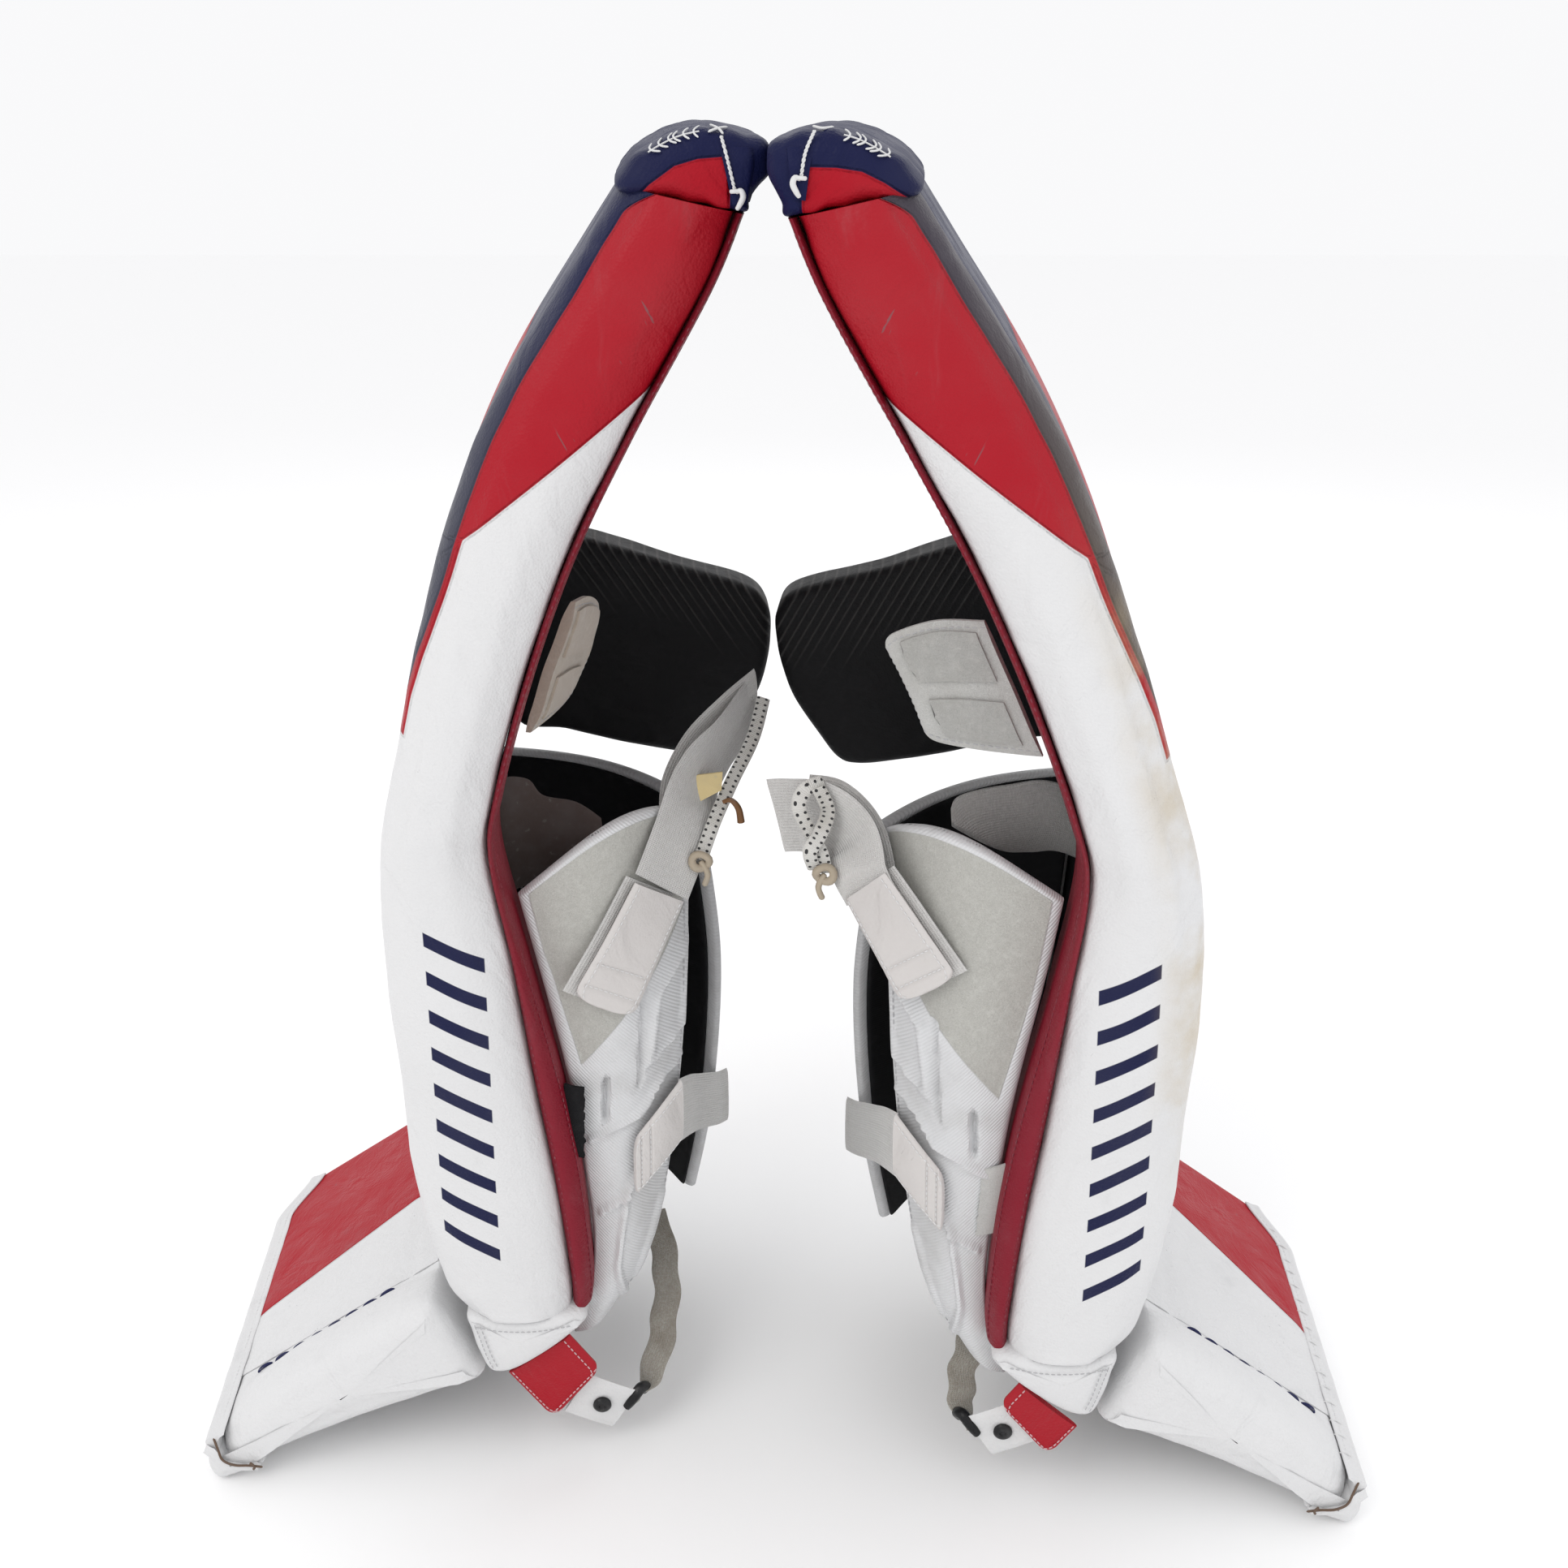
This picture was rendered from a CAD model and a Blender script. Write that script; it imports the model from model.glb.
"""The looks of a pair of goalie leg pads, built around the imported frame.

Each pad is drawn in its own frame (u, v, z): u from the pad's front to its back, v from the outer
roll to the inner edge, z up. place() puts such a point in the world.
"""

import math

import bmesh
import bpy
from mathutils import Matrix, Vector, noise


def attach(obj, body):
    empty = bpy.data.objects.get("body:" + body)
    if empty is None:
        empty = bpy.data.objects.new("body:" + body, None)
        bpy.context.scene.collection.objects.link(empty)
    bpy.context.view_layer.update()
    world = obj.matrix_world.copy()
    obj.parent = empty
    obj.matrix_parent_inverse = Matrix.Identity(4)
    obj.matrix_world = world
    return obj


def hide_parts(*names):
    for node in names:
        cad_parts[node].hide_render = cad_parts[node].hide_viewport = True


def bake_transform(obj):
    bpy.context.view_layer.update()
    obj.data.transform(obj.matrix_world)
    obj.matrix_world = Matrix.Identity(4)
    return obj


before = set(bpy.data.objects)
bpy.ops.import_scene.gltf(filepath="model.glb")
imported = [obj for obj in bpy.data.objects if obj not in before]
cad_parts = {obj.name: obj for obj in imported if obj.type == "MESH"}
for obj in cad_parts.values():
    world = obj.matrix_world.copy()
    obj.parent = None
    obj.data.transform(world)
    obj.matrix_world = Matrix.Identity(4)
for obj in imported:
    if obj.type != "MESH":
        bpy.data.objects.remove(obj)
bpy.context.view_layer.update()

NOISE_SEED = 7
noise.seed_set(NOISE_SEED)

# ---------------------------------------------------------------- driving dimensions, metres

HALF_WIDTH = 0.134
PAD_YAW = math.radians(4.4)
YAW_PIVOT = (-0.16, -0.134)
PAD_SHIFT = 0.003
RIGHT_PAD_STEP = 0.037
CENTRE_SHIFT = (0.0002, 0.0215)
ROLL_INNER_V = -0.080
CORE_DEPTH = 0.046
LINING_EDGE_V = 0.1030
CUSHION_V = (-0.071, 0.097)
KNEE = (-0.2267, 0.4292)

# Side outline from the foot up: front (u, z), back (u, z), gusset depth
STATIONS = (
    ((-0.1990, 0.119), (-0.1200, 0.116), 0.012),
    ((-0.2130, 0.142), (-0.1185, 0.140), 0.014),
    ((-0.2245, 0.210), (-0.1225, 0.210), 0.016),
    ((-0.2275, 0.279), (-0.1320, 0.279), 0.015),
    ((-0.2300, 0.361), (-0.1480, 0.361), 0.008),
    ((-0.2268, 0.429), (-0.1605, 0.429), 0.005),
    ((-0.2175, 0.472), (-0.1545, 0.468), 0.005),
    ((-0.1990, 0.544), (-0.1340, 0.534), 0.005),
    ((-0.1760, 0.620), (-0.1080, 0.600), 0.005),
    ((-0.1450, 0.686), (-0.0760, 0.662), 0.005),
    ((-0.1010, 0.753), (-0.0340, 0.735), 0.005),
    ((-0.0775, 0.788), (-0.0165, 0.774), 0.005),
)

TOE_TOP = (-0.361, 0.0243)
FLOOR_GAP = 0.0004
CREASE = (-0.2185, 0.1147)


def smooth_step(low, high, value):
    t = min(max((value - low) / (high - low), 0.0), 1.0)
    return t * t * (3.0 - 2.0 * t)


def smooth_ramp(low, high, value):
    return min(max((value - low) / (high - low), 0.0), 1.0)


def settle(u, z):
    """How far the right pad's foot, shin and top have slipped along u."""
    off_toe = smooth_step(0.0, 1.0, max(z / 0.14, (u - TOE_TOP[0]) / 0.15))
    above_shin = smooth_step(0.33, 0.70, z)
    return -0.012 * off_toe * (1.0 - above_shin) + 0.002 * (1.0 - off_toe) + 0.009 * above_shin


def place(side, u, v, z):
    """A point of one pad's own frame, in the world."""
    if side == "right":
        u += settle(u, z)
    du = u - YAW_PIVOT[0]
    dv = v - YAW_PIVOT[1]
    x = YAW_PIVOT[0] + du * math.cos(PAD_YAW) - dv * math.sin(PAD_YAW) + PAD_SHIFT
    y = YAW_PIVOT[1] + du * math.sin(PAD_YAW) + dv * math.cos(PAD_YAW) + CENTRE_SHIFT[1]
    if side == "right":
        return Vector((CENTRE_SHIFT[0] - x, y - RIGHT_PAD_STEP, z))
    return Vector((CENTRE_SHIFT[0] + x, y, z))


# ---------------------------------------------------------------- camera, light, floor

CAMERA_PITCH = math.radians(22.152331)
CAMERA_LENS = 38.720497
CAMERA_PLACE = (0.0047, -0.9685, 0.8275)
LAMP_AIM = Vector((0.0, 0.0, 0.38))


def build_stage():
    camera = bpy.data.cameras.new("camera")
    camera.sensor_width = 36.0
    camera.lens = CAMERA_LENS
    camera_object = bpy.data.objects.new("camera", camera)
    bpy.context.scene.collection.objects.link(camera_object)
    camera_object.location = CAMERA_PLACE
    camera_object.rotation_euler = (math.pi / 2 - CAMERA_PITCH, 0.0, 0.0)
    bpy.context.scene.camera = camera_object

    mesh = bpy.data.meshes.new("floor")
    mesh.from_pydata([(-6, -6, 0), (6, -6, 0), (6, 9, 0), (-6, 9, 0)], [], [(0, 1, 2, 3)])
    floor = bpy.data.objects.new("floor", mesh)
    floor.location.z = -0.0006
    bpy.context.scene.collection.objects.link(floor)
    paint = bpy.data.materials.new("floor_paint")
    paint.use_nodes = True
    shader = paint.node_tree.nodes["Principled BSDF"]
    shader.inputs["Base Color"].default_value = (0.985, 0.985, 0.985, 1.0)
    shader.inputs["Roughness"].default_value = 0.8
    mesh.materials.append(paint)

    world = bpy.data.worlds.new("studio")
    bpy.context.scene.world = world
    world.use_nodes = True
    background = world.node_tree.nodes["Background"]
    background.inputs["Color"].default_value = (0.99, 0.99, 1.0, 1.0)
    background.inputs["Strength"].default_value = 0.96

    for name, where, size, power, colour in (
        ("key", (-1.5, -1.7, 2.4), 1.8, 19.0, (1.0, 0.98, 0.95)),
        ("fill", (1.9, -1.5, 1.5), 2.2, 6.0, (0.96, 0.98, 1.0)),
        ("rim", (0.2, 1.9, 2.0), 2.0, 9.0, (1.0, 1.0, 1.0)),
    ):
        light = bpy.data.lights.new(name, "AREA")
        light.size = size
        light.energy = power
        light.color = colour
        lamp = bpy.data.objects.new(name, light)
        bpy.context.scene.collection.objects.link(lamp)
        lamp.location = where
        aim = LAMP_AIM - Vector(where)
        lamp.rotation_euler = aim.to_track_quat("-Z", "Y").to_euler()
    bpy.context.scene.view_settings.view_transform = "Standard"
    bpy.context.scene.view_settings.look = "None"


build_stage()

# ---------------------------------------------------------------- material nodes


class Net:
    """A short way to write a material's nodes."""

    def __init__(self, name):
        self.mat = bpy.data.materials.new(name)
        self.mat.use_nodes = True
        self.tree = self.mat.node_tree
        self.shader = self.tree.nodes["Principled BSDF"]
        self.uvz = self.attribute("pad_uvz")
        self.aux = self.attribute("pad_aux")

    def put(self, socket, value):
        if isinstance(value, bpy.types.NodeSocket):
            self.tree.links.new(value, socket)
        elif isinstance(value, (tuple, list)) and len(value) == 3 and socket.type == "RGBA":
            socket.default_value = (*value, 1.0)
        else:
            socket.default_value = value

    def attribute(self, name):
        node = self.tree.nodes.new("ShaderNodeAttribute")
        node.attribute_name = name
        return node.outputs["Vector"]

    def split(self, vector):
        node = self.tree.nodes.new("ShaderNodeSeparateXYZ")
        self.put(node.inputs[0], vector)
        return node.outputs[0], node.outputs[1], node.outputs[2]

    def join(self, x, y, z):
        node = self.tree.nodes.new("ShaderNodeCombineXYZ")
        for socket, value in zip(node.inputs, (x, y, z)):
            self.put(socket, value)
        return node.outputs[0]

    def math(self, operation, a, b=0.0, c=0.0):
        node = self.tree.nodes.new("ShaderNodeMath")
        node.operation = operation
        self.put(node.inputs[0], a)
        self.put(node.inputs[1], b)
        if operation == "MULTIPLY_ADD":
            self.put(node.inputs[2], c)
        return node.outputs[0]

    def add(self, a, b):
        return self.math("ADD", a, b)

    def sub(self, a, b):
        return self.math("SUBTRACT", a, b)

    def mul(self, a, b):
        return self.math("MULTIPLY", a, b)

    def least(self, first, *others):
        for other in others:
            first = self.math("MINIMUM", first, other)
        return first

    def size(self, a):
        return self.math("ABSOLUTE", a)

    def step(self, value, low, high, out_low=0.0, out_high=1.0):
        """A smooth step as value goes from low to high."""
        node = self.tree.nodes.new("ShaderNodeMapRange")
        node.interpolation_type = "SMOOTHSTEP"
        self.put(node.inputs["Value"], value)
        node.inputs["From Min"].default_value = low
        node.inputs["From Max"].default_value = high
        node.inputs["To Min"].default_value = out_low
        node.inputs["To Max"].default_value = out_high
        return node.outputs["Result"]

    def mix(self, factor, a, b):
        node = self.tree.nodes.new("ShaderNodeMix")
        node.data_type = "RGBA"
        self.put(node.inputs[0], factor)
        self.put(node.inputs[6], a)
        self.put(node.inputs[7], b)
        return node.outputs[2]

    def noise(self, scale, detail=3.0, rough=0.55, vector=None, distortion=0.0):
        node = self.tree.nodes.new("ShaderNodeTexNoise")
        self.put(node.inputs["Vector"], self.uvz if vector is None else vector)
        node.inputs["Scale"].default_value = scale
        node.inputs["Detail"].default_value = detail
        node.inputs["Roughness"].default_value = rough
        node.inputs["Distortion"].default_value = distortion
        return node.outputs["Fac"]

    def cells(self, scale):
        node = self.tree.nodes.new("ShaderNodeTexVoronoi")
        self.put(node.inputs["Vector"], self.uvz)
        node.inputs["Scale"].default_value = scale
        return node.outputs["Distance"]

    def stretch(self, x, y, z, vector=None):
        """The coordinates scaled unevenly, for streaks and threads."""
        node = self.tree.nodes.new("ShaderNodeMapping")
        self.put(node.inputs["Vector"], self.uvz if vector is None else vector)
        node.inputs["Scale"].default_value = (x, y, z)
        return node.outputs[0]

    def turn(self, vector, angle):
        node = self.tree.nodes.new("ShaderNodeVectorRotate")
        node.rotation_type = "Y_AXIS"
        self.put(node.inputs["Vector"], vector)
        node.inputs["Angle"].default_value = angle
        return node.outputs[0]

    def wave(self, value, period):
        """1 on the crests and 0 in the troughs of a ripple along value."""
        turned = self.mul(value, 2.0 * math.pi / period)
        return self.math("MULTIPLY_ADD", self.math("SINE", turned), 0.5, 0.5)

    def bump(self, layers):
        """layers: (height socket, distance in metres) pairs, from the broadest to the finest."""
        normal = None
        for height, distance in layers:
            node = self.tree.nodes.new("ShaderNodeBump")
            node.inputs["Distance"].default_value = distance
            self.put(node.inputs["Height"], height)
            if normal is not None:
                self.put(node.inputs["Normal"], normal)
            normal = node.outputs["Normal"]
        self.put(self.shader.inputs["Normal"], normal)

    def finish(self, colour, rough, **constants):
        self.put(self.shader.inputs["Base Color"], colour)
        self.put(self.shader.inputs["Roughness"], rough)
        for name, value in constants.items():
            self.shader.inputs[name.replace("_", " ")].default_value = value
        return self.mat


WHITE = (0.70, 0.70, 0.705)
RED = (0.370, 0.004, 0.014)
DARK_RED = (0.205, 0.0065, 0.019)
NAVY = (0.0055, 0.0080, 0.048)
SLATE = (0.052, 0.054, 0.078)
TAUPE = (0.085, 0.068, 0.062)


def line_sign(net, x, y, a, b):
    """Signed distance in metres of (x, y) from the line a-b, positive on its left."""
    dx, dy = b[0] - a[0], b[1] - a[1]
    length = math.hypot(dx, dy)
    return net.add(net.mul(net.sub(x, a[0]), -dy / length), net.mul(net.sub(y, a[1]), dx / length))


def leather(name, base, zones=None, rough=0.42, grain=1.0, soil=0.5, scuff=0.5, stain=None,
            coat=0.0, shine_level=0.20):
    """Smooth synthetic leather: pebbled grain, soft creases, grey soil and dark scuffs.

    zones(net) gives (signed distance, colour) pairs, laid one over the other with a sewn groove,
    or with no groove where a third item follows.
    """
    net = Net(name)
    colour = base
    groove = None
    for distance, paint, *flat in (zones(net) if zones else ()):
        colour = net.mix(net.step(distance, -0.0003, 0.0003), colour, paint)
        if flat:
            continue
        edge = net.step(net.size(distance), 0.0, 0.0016)
        groove = edge if groove is None else net.mul(groove, edge)
    mottle = net.noise(9.0, 4.0, 0.6)
    faded = net.mix(0.5, colour, (0.30, 0.29, 0.28))
    colour = net.mix(net.step(mottle, 0.35, 0.75, 0.0, 0.07), colour, faded)
    smudge = net.noise(1.0, 5.0, 0.62, net.stretch(26.0, 26.0, 11.0), 0.6)
    colour = net.mix(net.step(smudge, 0.56, 0.86, 0.0, 0.42 * soil), colour, (0.26, 0.26, 0.27))
    turned = net.turn(net.uvz, 0.5)
    streak = net.noise(1.0, 2.0, 0.5, net.stretch(420.0, 300.0, 26.0, turned))
    where = net.noise(22.0, 2.0, 0.5)
    marks = net.mul(net.step(streak, 0.69, 0.74), net.step(where, 0.57, 0.66))
    colour = net.mix(net.mul(marks, 0.75 * scuff), colour, (0.12, 0.12, 0.13))
    if stain:
        colour = stain(net, colour)
    pebble = net.cells(640.0)
    fine = net.noise(1500.0, 2.0, 0.5)
    crease = net.noise(1.0, 3.0, 0.55, net.stretch(34.0, 34.0, 14.0, turned), 1.2)
    layers = [(crease, 0.0022), (pebble, 0.00022 * grain), (fine, 0.00008 * grain)]
    if groove is not None:
        layers.insert(0, (groove, 0.0012))
    net.bump(layers)
    shine = net.step(net.noise(30.0, 3.0, 0.6), 0.3, 0.7, rough - 0.06, rough + 0.08)
    return net.finish(colour, shine, Coat_Weight=coat, Coat_Roughness=0.25,
                      Specular_IOR_Level=shine_level)


THIGH_SEAM = ((-0.1660, 0.6140), (-0.0655, 0.6905))
BAR_PITCH = 0.0125
BAR_SLANT = 0.62
BAR_HALF_LENGTH = 0.0165


def roll_zones(net, upper_band=NAVY, lower_band=SLATE):
    """Red above the slanting seam, a dark band down the front edge, generic bars on the shin."""
    u, _, z = net.split(net.uvz)
    d, _, _ = net.split(net.aux)
    yield line_sign(net, u, z, *THIGH_SEAM), RED
    reach = net.add(net.step(z, 0.51, 0.61, 0.0, 0.0085), net.step(z, 0.775, 0.806, 0.0, 0.040))
    band = net.sub(reach, d)
    above = net.sub(z, 0.505)
    below = net.sub(0.615, z)
    yield net.least(net.add(band, 0.0035), above, below), RED
    yield net.least(band, above), net.mix(net.step(z, 0.60, 0.78), lower_band, upper_band)
    centre = net.step(z, 0.16, 0.40, -0.1895, -0.1860)
    slant = net.add(z, net.mul(u, BAR_SLANT))
    bars = net.sub(net.math("PINGPONG", slant, BAR_PITCH), 0.0080)
    sides = net.sub(BAR_HALF_LENGTH, net.size(net.sub(u, centre)))
    lowest, highest = net.sub(slant, 0.0585), net.sub(0.2720, slant)
    yield net.least(bars, sides, lowest, highest), NAVY, "printed"


def worn_roll_zones(net):
    """The right pad's band, rubbed to a brownish grey."""
    return roll_zones(net, mix(NAVY, TAUPE, 0.55), TAUPE)


def edge_stain(net, colour):
    """Yellowish staining down the right pad's front edge, from the knee to the shin."""
    d, _, _ = net.split(net.aux)
    _, _, z = net.split(net.uvz)
    run = net.mul(net.step(z, 0.22, 0.34), net.step(z, 0.66, 0.50))
    near_edge = net.step(d, 0.034, 0.004)
    patch = net.step(net.noise(16.0, 4.0, 0.6), 0.36, 0.66)
    amount = net.mul(net.mul(run, near_edge), net.mul(patch, 0.62))
    return net.mix(amount, colour, (0.50, 0.40, 0.24))


def textile(name, base, pitch=0.0011, dirt=(0.30, 0.29, 0.27), soil=0.4, knit=False):
    """Woven, knitted or felted cloth with threads in its own (aux) coordinates."""
    net = Net(name)
    _, s, w = net.split(net.aux)
    threads = net.mul(net.wave(s, pitch), net.wave(w, pitch * (1.0 if knit else 1.6)))
    fibre = net.noise(1.0, 3.0, 0.7, net.stretch(900.0, 900.0, 300.0))
    tone = net.math("MULTIPLY_ADD", threads, 0.22, 0.80)
    colour = net.mix(tone, net.mix(0.5, base, (0.10, 0.10, 0.10)), base)
    pale = net.mix(0.65, base, (0.9, 0.9, 0.88))
    colour = net.mix(net.step(fibre, 0.35, 0.7, 0.0, 0.25), colour, pale)
    patches = net.noise(22.0, 5.0, 0.65)
    colour = net.mix(net.step(patches, 0.5, 0.8, 0.0, soil), colour, dirt)
    net.bump([(patches, 0.0014), (threads, 0.00035), (fibre, 0.00024)])
    return net.finish(colour, 0.9, Sheen_Weight=0.35, Sheen_Roughness=0.5, Specular_IOR_Level=0.25)


def felt(name, base, soil=0.3):
    """Felt: tangled fibres, paler clumps and soiled patches."""
    net = Net(name)
    fibre = net.noise(1300.0, 4.0, 0.75, distortion=1.5)
    clump = net.noise(170.0, 4.0, 0.7)
    patches = net.noise(18.0, 4.0, 0.6)
    colour = net.mix(net.step(fibre, 0.3, 0.7), net.mix(0.45, base, (0.2, 0.2, 0.18)), base)
    colour = net.mix(net.step(clump, 0.45, 0.75, 0.0, 0.22), colour, (0.74, 0.74, 0.70))
    colour = net.mix(net.step(patches, 0.48, 0.8, 0.0, soil), colour, (0.36, 0.34, 0.30))
    net.bump([(patches, 0.0018), (clump, 0.0009), (fibre, 0.0006)])
    return net.finish(colour, 0.95, Sheen_Weight=0.5, Sheen_Roughness=0.6, Specular_IOR_Level=0.2)


def plain(name, base, rough=0.5, grain=700.0, depth=0.0001, soil=0.15):
    """Moulded plastic, thread or foam: fine grain, faint colour drift and a little soil."""
    net = Net(name)
    drift = net.noise(60.0, 3.0, 0.6)
    greyed = net.mix(0.35, base, (0.3, 0.3, 0.3))
    colour = net.mix(net.step(drift, 0.35, 0.75, 0.0, 0.35), base, greyed)
    dust = net.noise(240.0, 3.0, 0.6)
    colour = net.mix(net.step(dust, 0.6, 0.8, 0.0, soil), colour, (0.35, 0.34, 0.32))
    net.bump([(net.noise(grain, 3.0, 0.6), depth)])
    shine = net.step(drift, 0.3, 0.7, rough - 0.05, rough + 0.07)
    return net.finish(colour, shine, Specular_IOR_Level=0.22)


# ---------------------------------------------------------------- curves and meshes


def curve_point(points, along, closed=False):
    """The point of a smooth curve through points of any dimension, along spans from its start."""
    total = len(points)
    k = min(int(along), total - 1 if closed else total - 2)
    f = along - k
    picks = []
    for index in range(k - 1, k + 3):
        picks.append(points[index % total if closed else min(max(index, 0), total - 1)])
    return tuple(
        0.5 * (2 * b + (c - a) * f + (2 * a - 5 * b + 4 * c - d) * f * f + (3 * b - a - 3 * c + d) * f ** 3)
        for a, b, c, d in zip(*picks)
    )


def spline(points, count, closed=False):
    """count + 1 samples (count when closed) of a smooth curve through points."""
    spans = len(points) if closed else len(points) - 1
    return [curve_point(points, spans * i / count, closed) for i in range(count if closed else count + 1)]


def curve_at(points, share):
    return curve_point(points, min(max(share, 0.0), 1.0) * (len(points) - 1))


def evenly(points, spacing):
    """The points of a polyline, respaced evenly."""
    lengths = [0.0]
    for a, b in zip(points, points[1:]):
        lengths.append(lengths[-1] + math.dist(a, b))
    count = max(int(round(lengths[-1] / spacing)), 1)
    out = []
    k = 0
    for i in range(count + 1):
        goal = lengths[-1] * i / count
        while k < len(points) - 2 and lengths[k + 1] < goal:
            k += 1
        span = max(lengths[k + 1] - lengths[k], 1e-9)
        f = (goal - lengths[k]) / span
        out.append(tuple(p + (q - p) * f for p, q in zip(points[k], points[k + 1])))
    return out


def mix(a, b, t):
    return tuple(p + (q - p) * t for p, q in zip(a, b))


def at_v(outline, v):
    return [(u, v, z) for u, z in outline]


def near(p, a, b):
    """Distance in a plane from p to the segment a-b."""
    span = (b[0] - a[0], b[1] - a[1])
    square = span[0] ** 2 + span[1] ** 2
    t = ((p[0] - a[0]) * span[0] + (p[1] - a[1]) * span[1]) / square
    t = min(max(t, 0.0), 1.0)
    return math.hypot(p[0] - a[0] - span[0] * t, p[1] - a[1] - span[1] * t)


def near_line(p, line):
    return min(near(p, a, b) for a, b in zip(line, line[1:]))


def inside(p, loop):
    hit = False
    for a, b in zip(loop, loop[1:] + loop[:1]):
        if (a[1] > p[1]) != (b[1] > p[1]):
            if p[0] < (b[0] - a[0]) * (p[1] - a[1]) / (b[1] - a[1]) + a[0]:
                hit = not hit
    return hit


class Shape:
    """Points in the pad's own frame, each with (d, s, w) surface coordinates, and faces."""

    def __init__(self):
        self.points = []
        self.aux = []
        self.faces = []

    def loft(self, rings, depths=None, closed=True, caps=True):
        """depths gives each point's d; s runs from ring to ring, w round each ring."""
        base = len(self.points)
        count = len(rings[0])
        run = 0.0
        for i, ring in enumerate(rings):
            if i:
                run += math.dist(rings[i - 1][0], ring[0])
            round_it = 0.0
            for k, point in enumerate(ring):
                if k:
                    round_it += math.dist(ring[k - 1], point)
                self.points.append(tuple(point))
                self.aux.append((depths[i][k] if depths else 0.0, run, round_it))
        for i in range(len(rings) - 1):
            for k in range(count if closed else count - 1):
                a = base + i * count + k
                b = base + i * count + (k + 1) % count
                self.faces.append((a, b, b + count, a + count))
        if caps and closed:
            self.faces.append(tuple(range(base + count - 1, base - 1, -1)))
            last = base + (len(rings) - 1) * count
            self.faces.append(tuple(range(last, last + count)))
        return self

    def slab(self, top, bottom):
        """A closed sheet between two equal grids of points (rows of points)."""
        rings = [list(upper) + list(lower)[::-1] for upper, lower in zip(top, bottom)]
        return self.loft(rings, [[0.0] * len(row) + [1.0] * len(row) for row in top])

    def panel(self, rows, columns, at):
        """A closed sheet; at(f, g) gives its outer and its inner point at two shares from 0 to 1."""
        pairs = [[at(i / rows, k / columns) for k in range(columns + 1)] for i in range(rows + 1)]
        return self.slab([[a for a, _ in row] for row in pairs], [[b for _, b in row] for row in pairs])


KNEE_BEND = ("shin", "thigh", (KNEE[0], 0.0, KNEE[1] - 0.035), (KNEE[0], 0.0, KNEE[1] + 0.035))


SHARP_ANGLE = math.radians(50.0)


def build(shape, side, name, material, body=None, bend=None, slot=None, stands_for=(), fill=None):
    """Makes the shape a piece that rides on a body, or bends between the two of bend."""
    mesh = bpy.data.meshes.new(f"{side}_{name}")
    mesh.from_pydata([place(side, *p) for p in shape.points], [], shape.faces)
    tool = bmesh.new()
    tool.from_mesh(mesh)
    bmesh.ops.recalc_face_normals(tool, faces=tool.faces[:])
    tool.to_mesh(mesh)
    tool.free()
    for label, values in (("pad_uvz", shape.points), ("pad_aux", shape.aux)):
        attribute = mesh.attributes.new(label, "FLOAT_VECTOR", "POINT")
        attribute.data.foreach_set("vector", [c for p in values for c in p])
    mesh.shade_smooth()
    mesh.set_sharp_from_angle(angle=SHARP_ANGLE)
    mesh.materials.append(material)
    piece = bpy.data.objects.new(f"{side}_{name}_look", mesh)
    bpy.context.scene.collection.objects.link(piece)
    if bend:
        low, high, start, end = bend
        place(side, *start)
        place(side, *end)
        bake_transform(piece)
    else:
        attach(piece, f"{side}_{body}")
    if stands_for:
        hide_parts(*(f"{side}_{node}" for node in stands_for))
    return piece


def tube(shape, path, radius, sides=8, taper=1.0):
    """Adds a round cord along path; radius may be one number or one for each point."""
    rings = []
    count = len(path)
    across = None
    for i, point in enumerate(path):
        before = Vector(path[max(i - 1, 0)])
        after = Vector(path[min(i + 1, count - 1)])
        tangent = (after - before).normalized()
        if across is None:
            across = tangent.orthogonal().normalized()
        across = (across - tangent * across.dot(tangent)).normalized()
        other = tangent.cross(across)
        size = radius[i] if isinstance(radius, (list, tuple)) else radius
        if i in (0, count - 1):
            size *= taper
        centre = Vector(point)
        rings.append([
            tuple(centre + across * (size * math.cos(2 * math.pi * k / sides))
                  + other * (size * math.sin(2 * math.pi * k / sides)))
            for k in range(sides)
        ])
    return shape.loft(rings)


def cord(shape, points, count, radius, swell=0.0, sides=8, taper=1.0):
    """Adds a round cord on a smooth curve through points, thicker by swell at its middle."""
    sizes = [radius + swell * math.sin(math.pi * i / count) for i in range(count + 1)]
    return tube(shape, spline(points, count), sizes, sides, taper)


STITCH = ((-0.5, 0.45), (-0.38, 0.9), (0.0, 1.15), (0.38, 0.9), (0.5, 0.45))


def stitches(shape, path, spacing=0.0036, length=0.0025, radius=0.00036):
    """Adds a row of thread stitches along path."""
    centres = evenly(path, spacing)
    for a, b in zip(centres, centres[1:]):
        a, b = Vector(a), Vector(b)
        step = (b - a).normalized() * length
        row = [tuple((a + b) * 0.5 + step * t) for t, _ in STITCH]
        tube(shape, row, [radius * size for _, size in STITCH], sides=6)
    return shape


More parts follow.
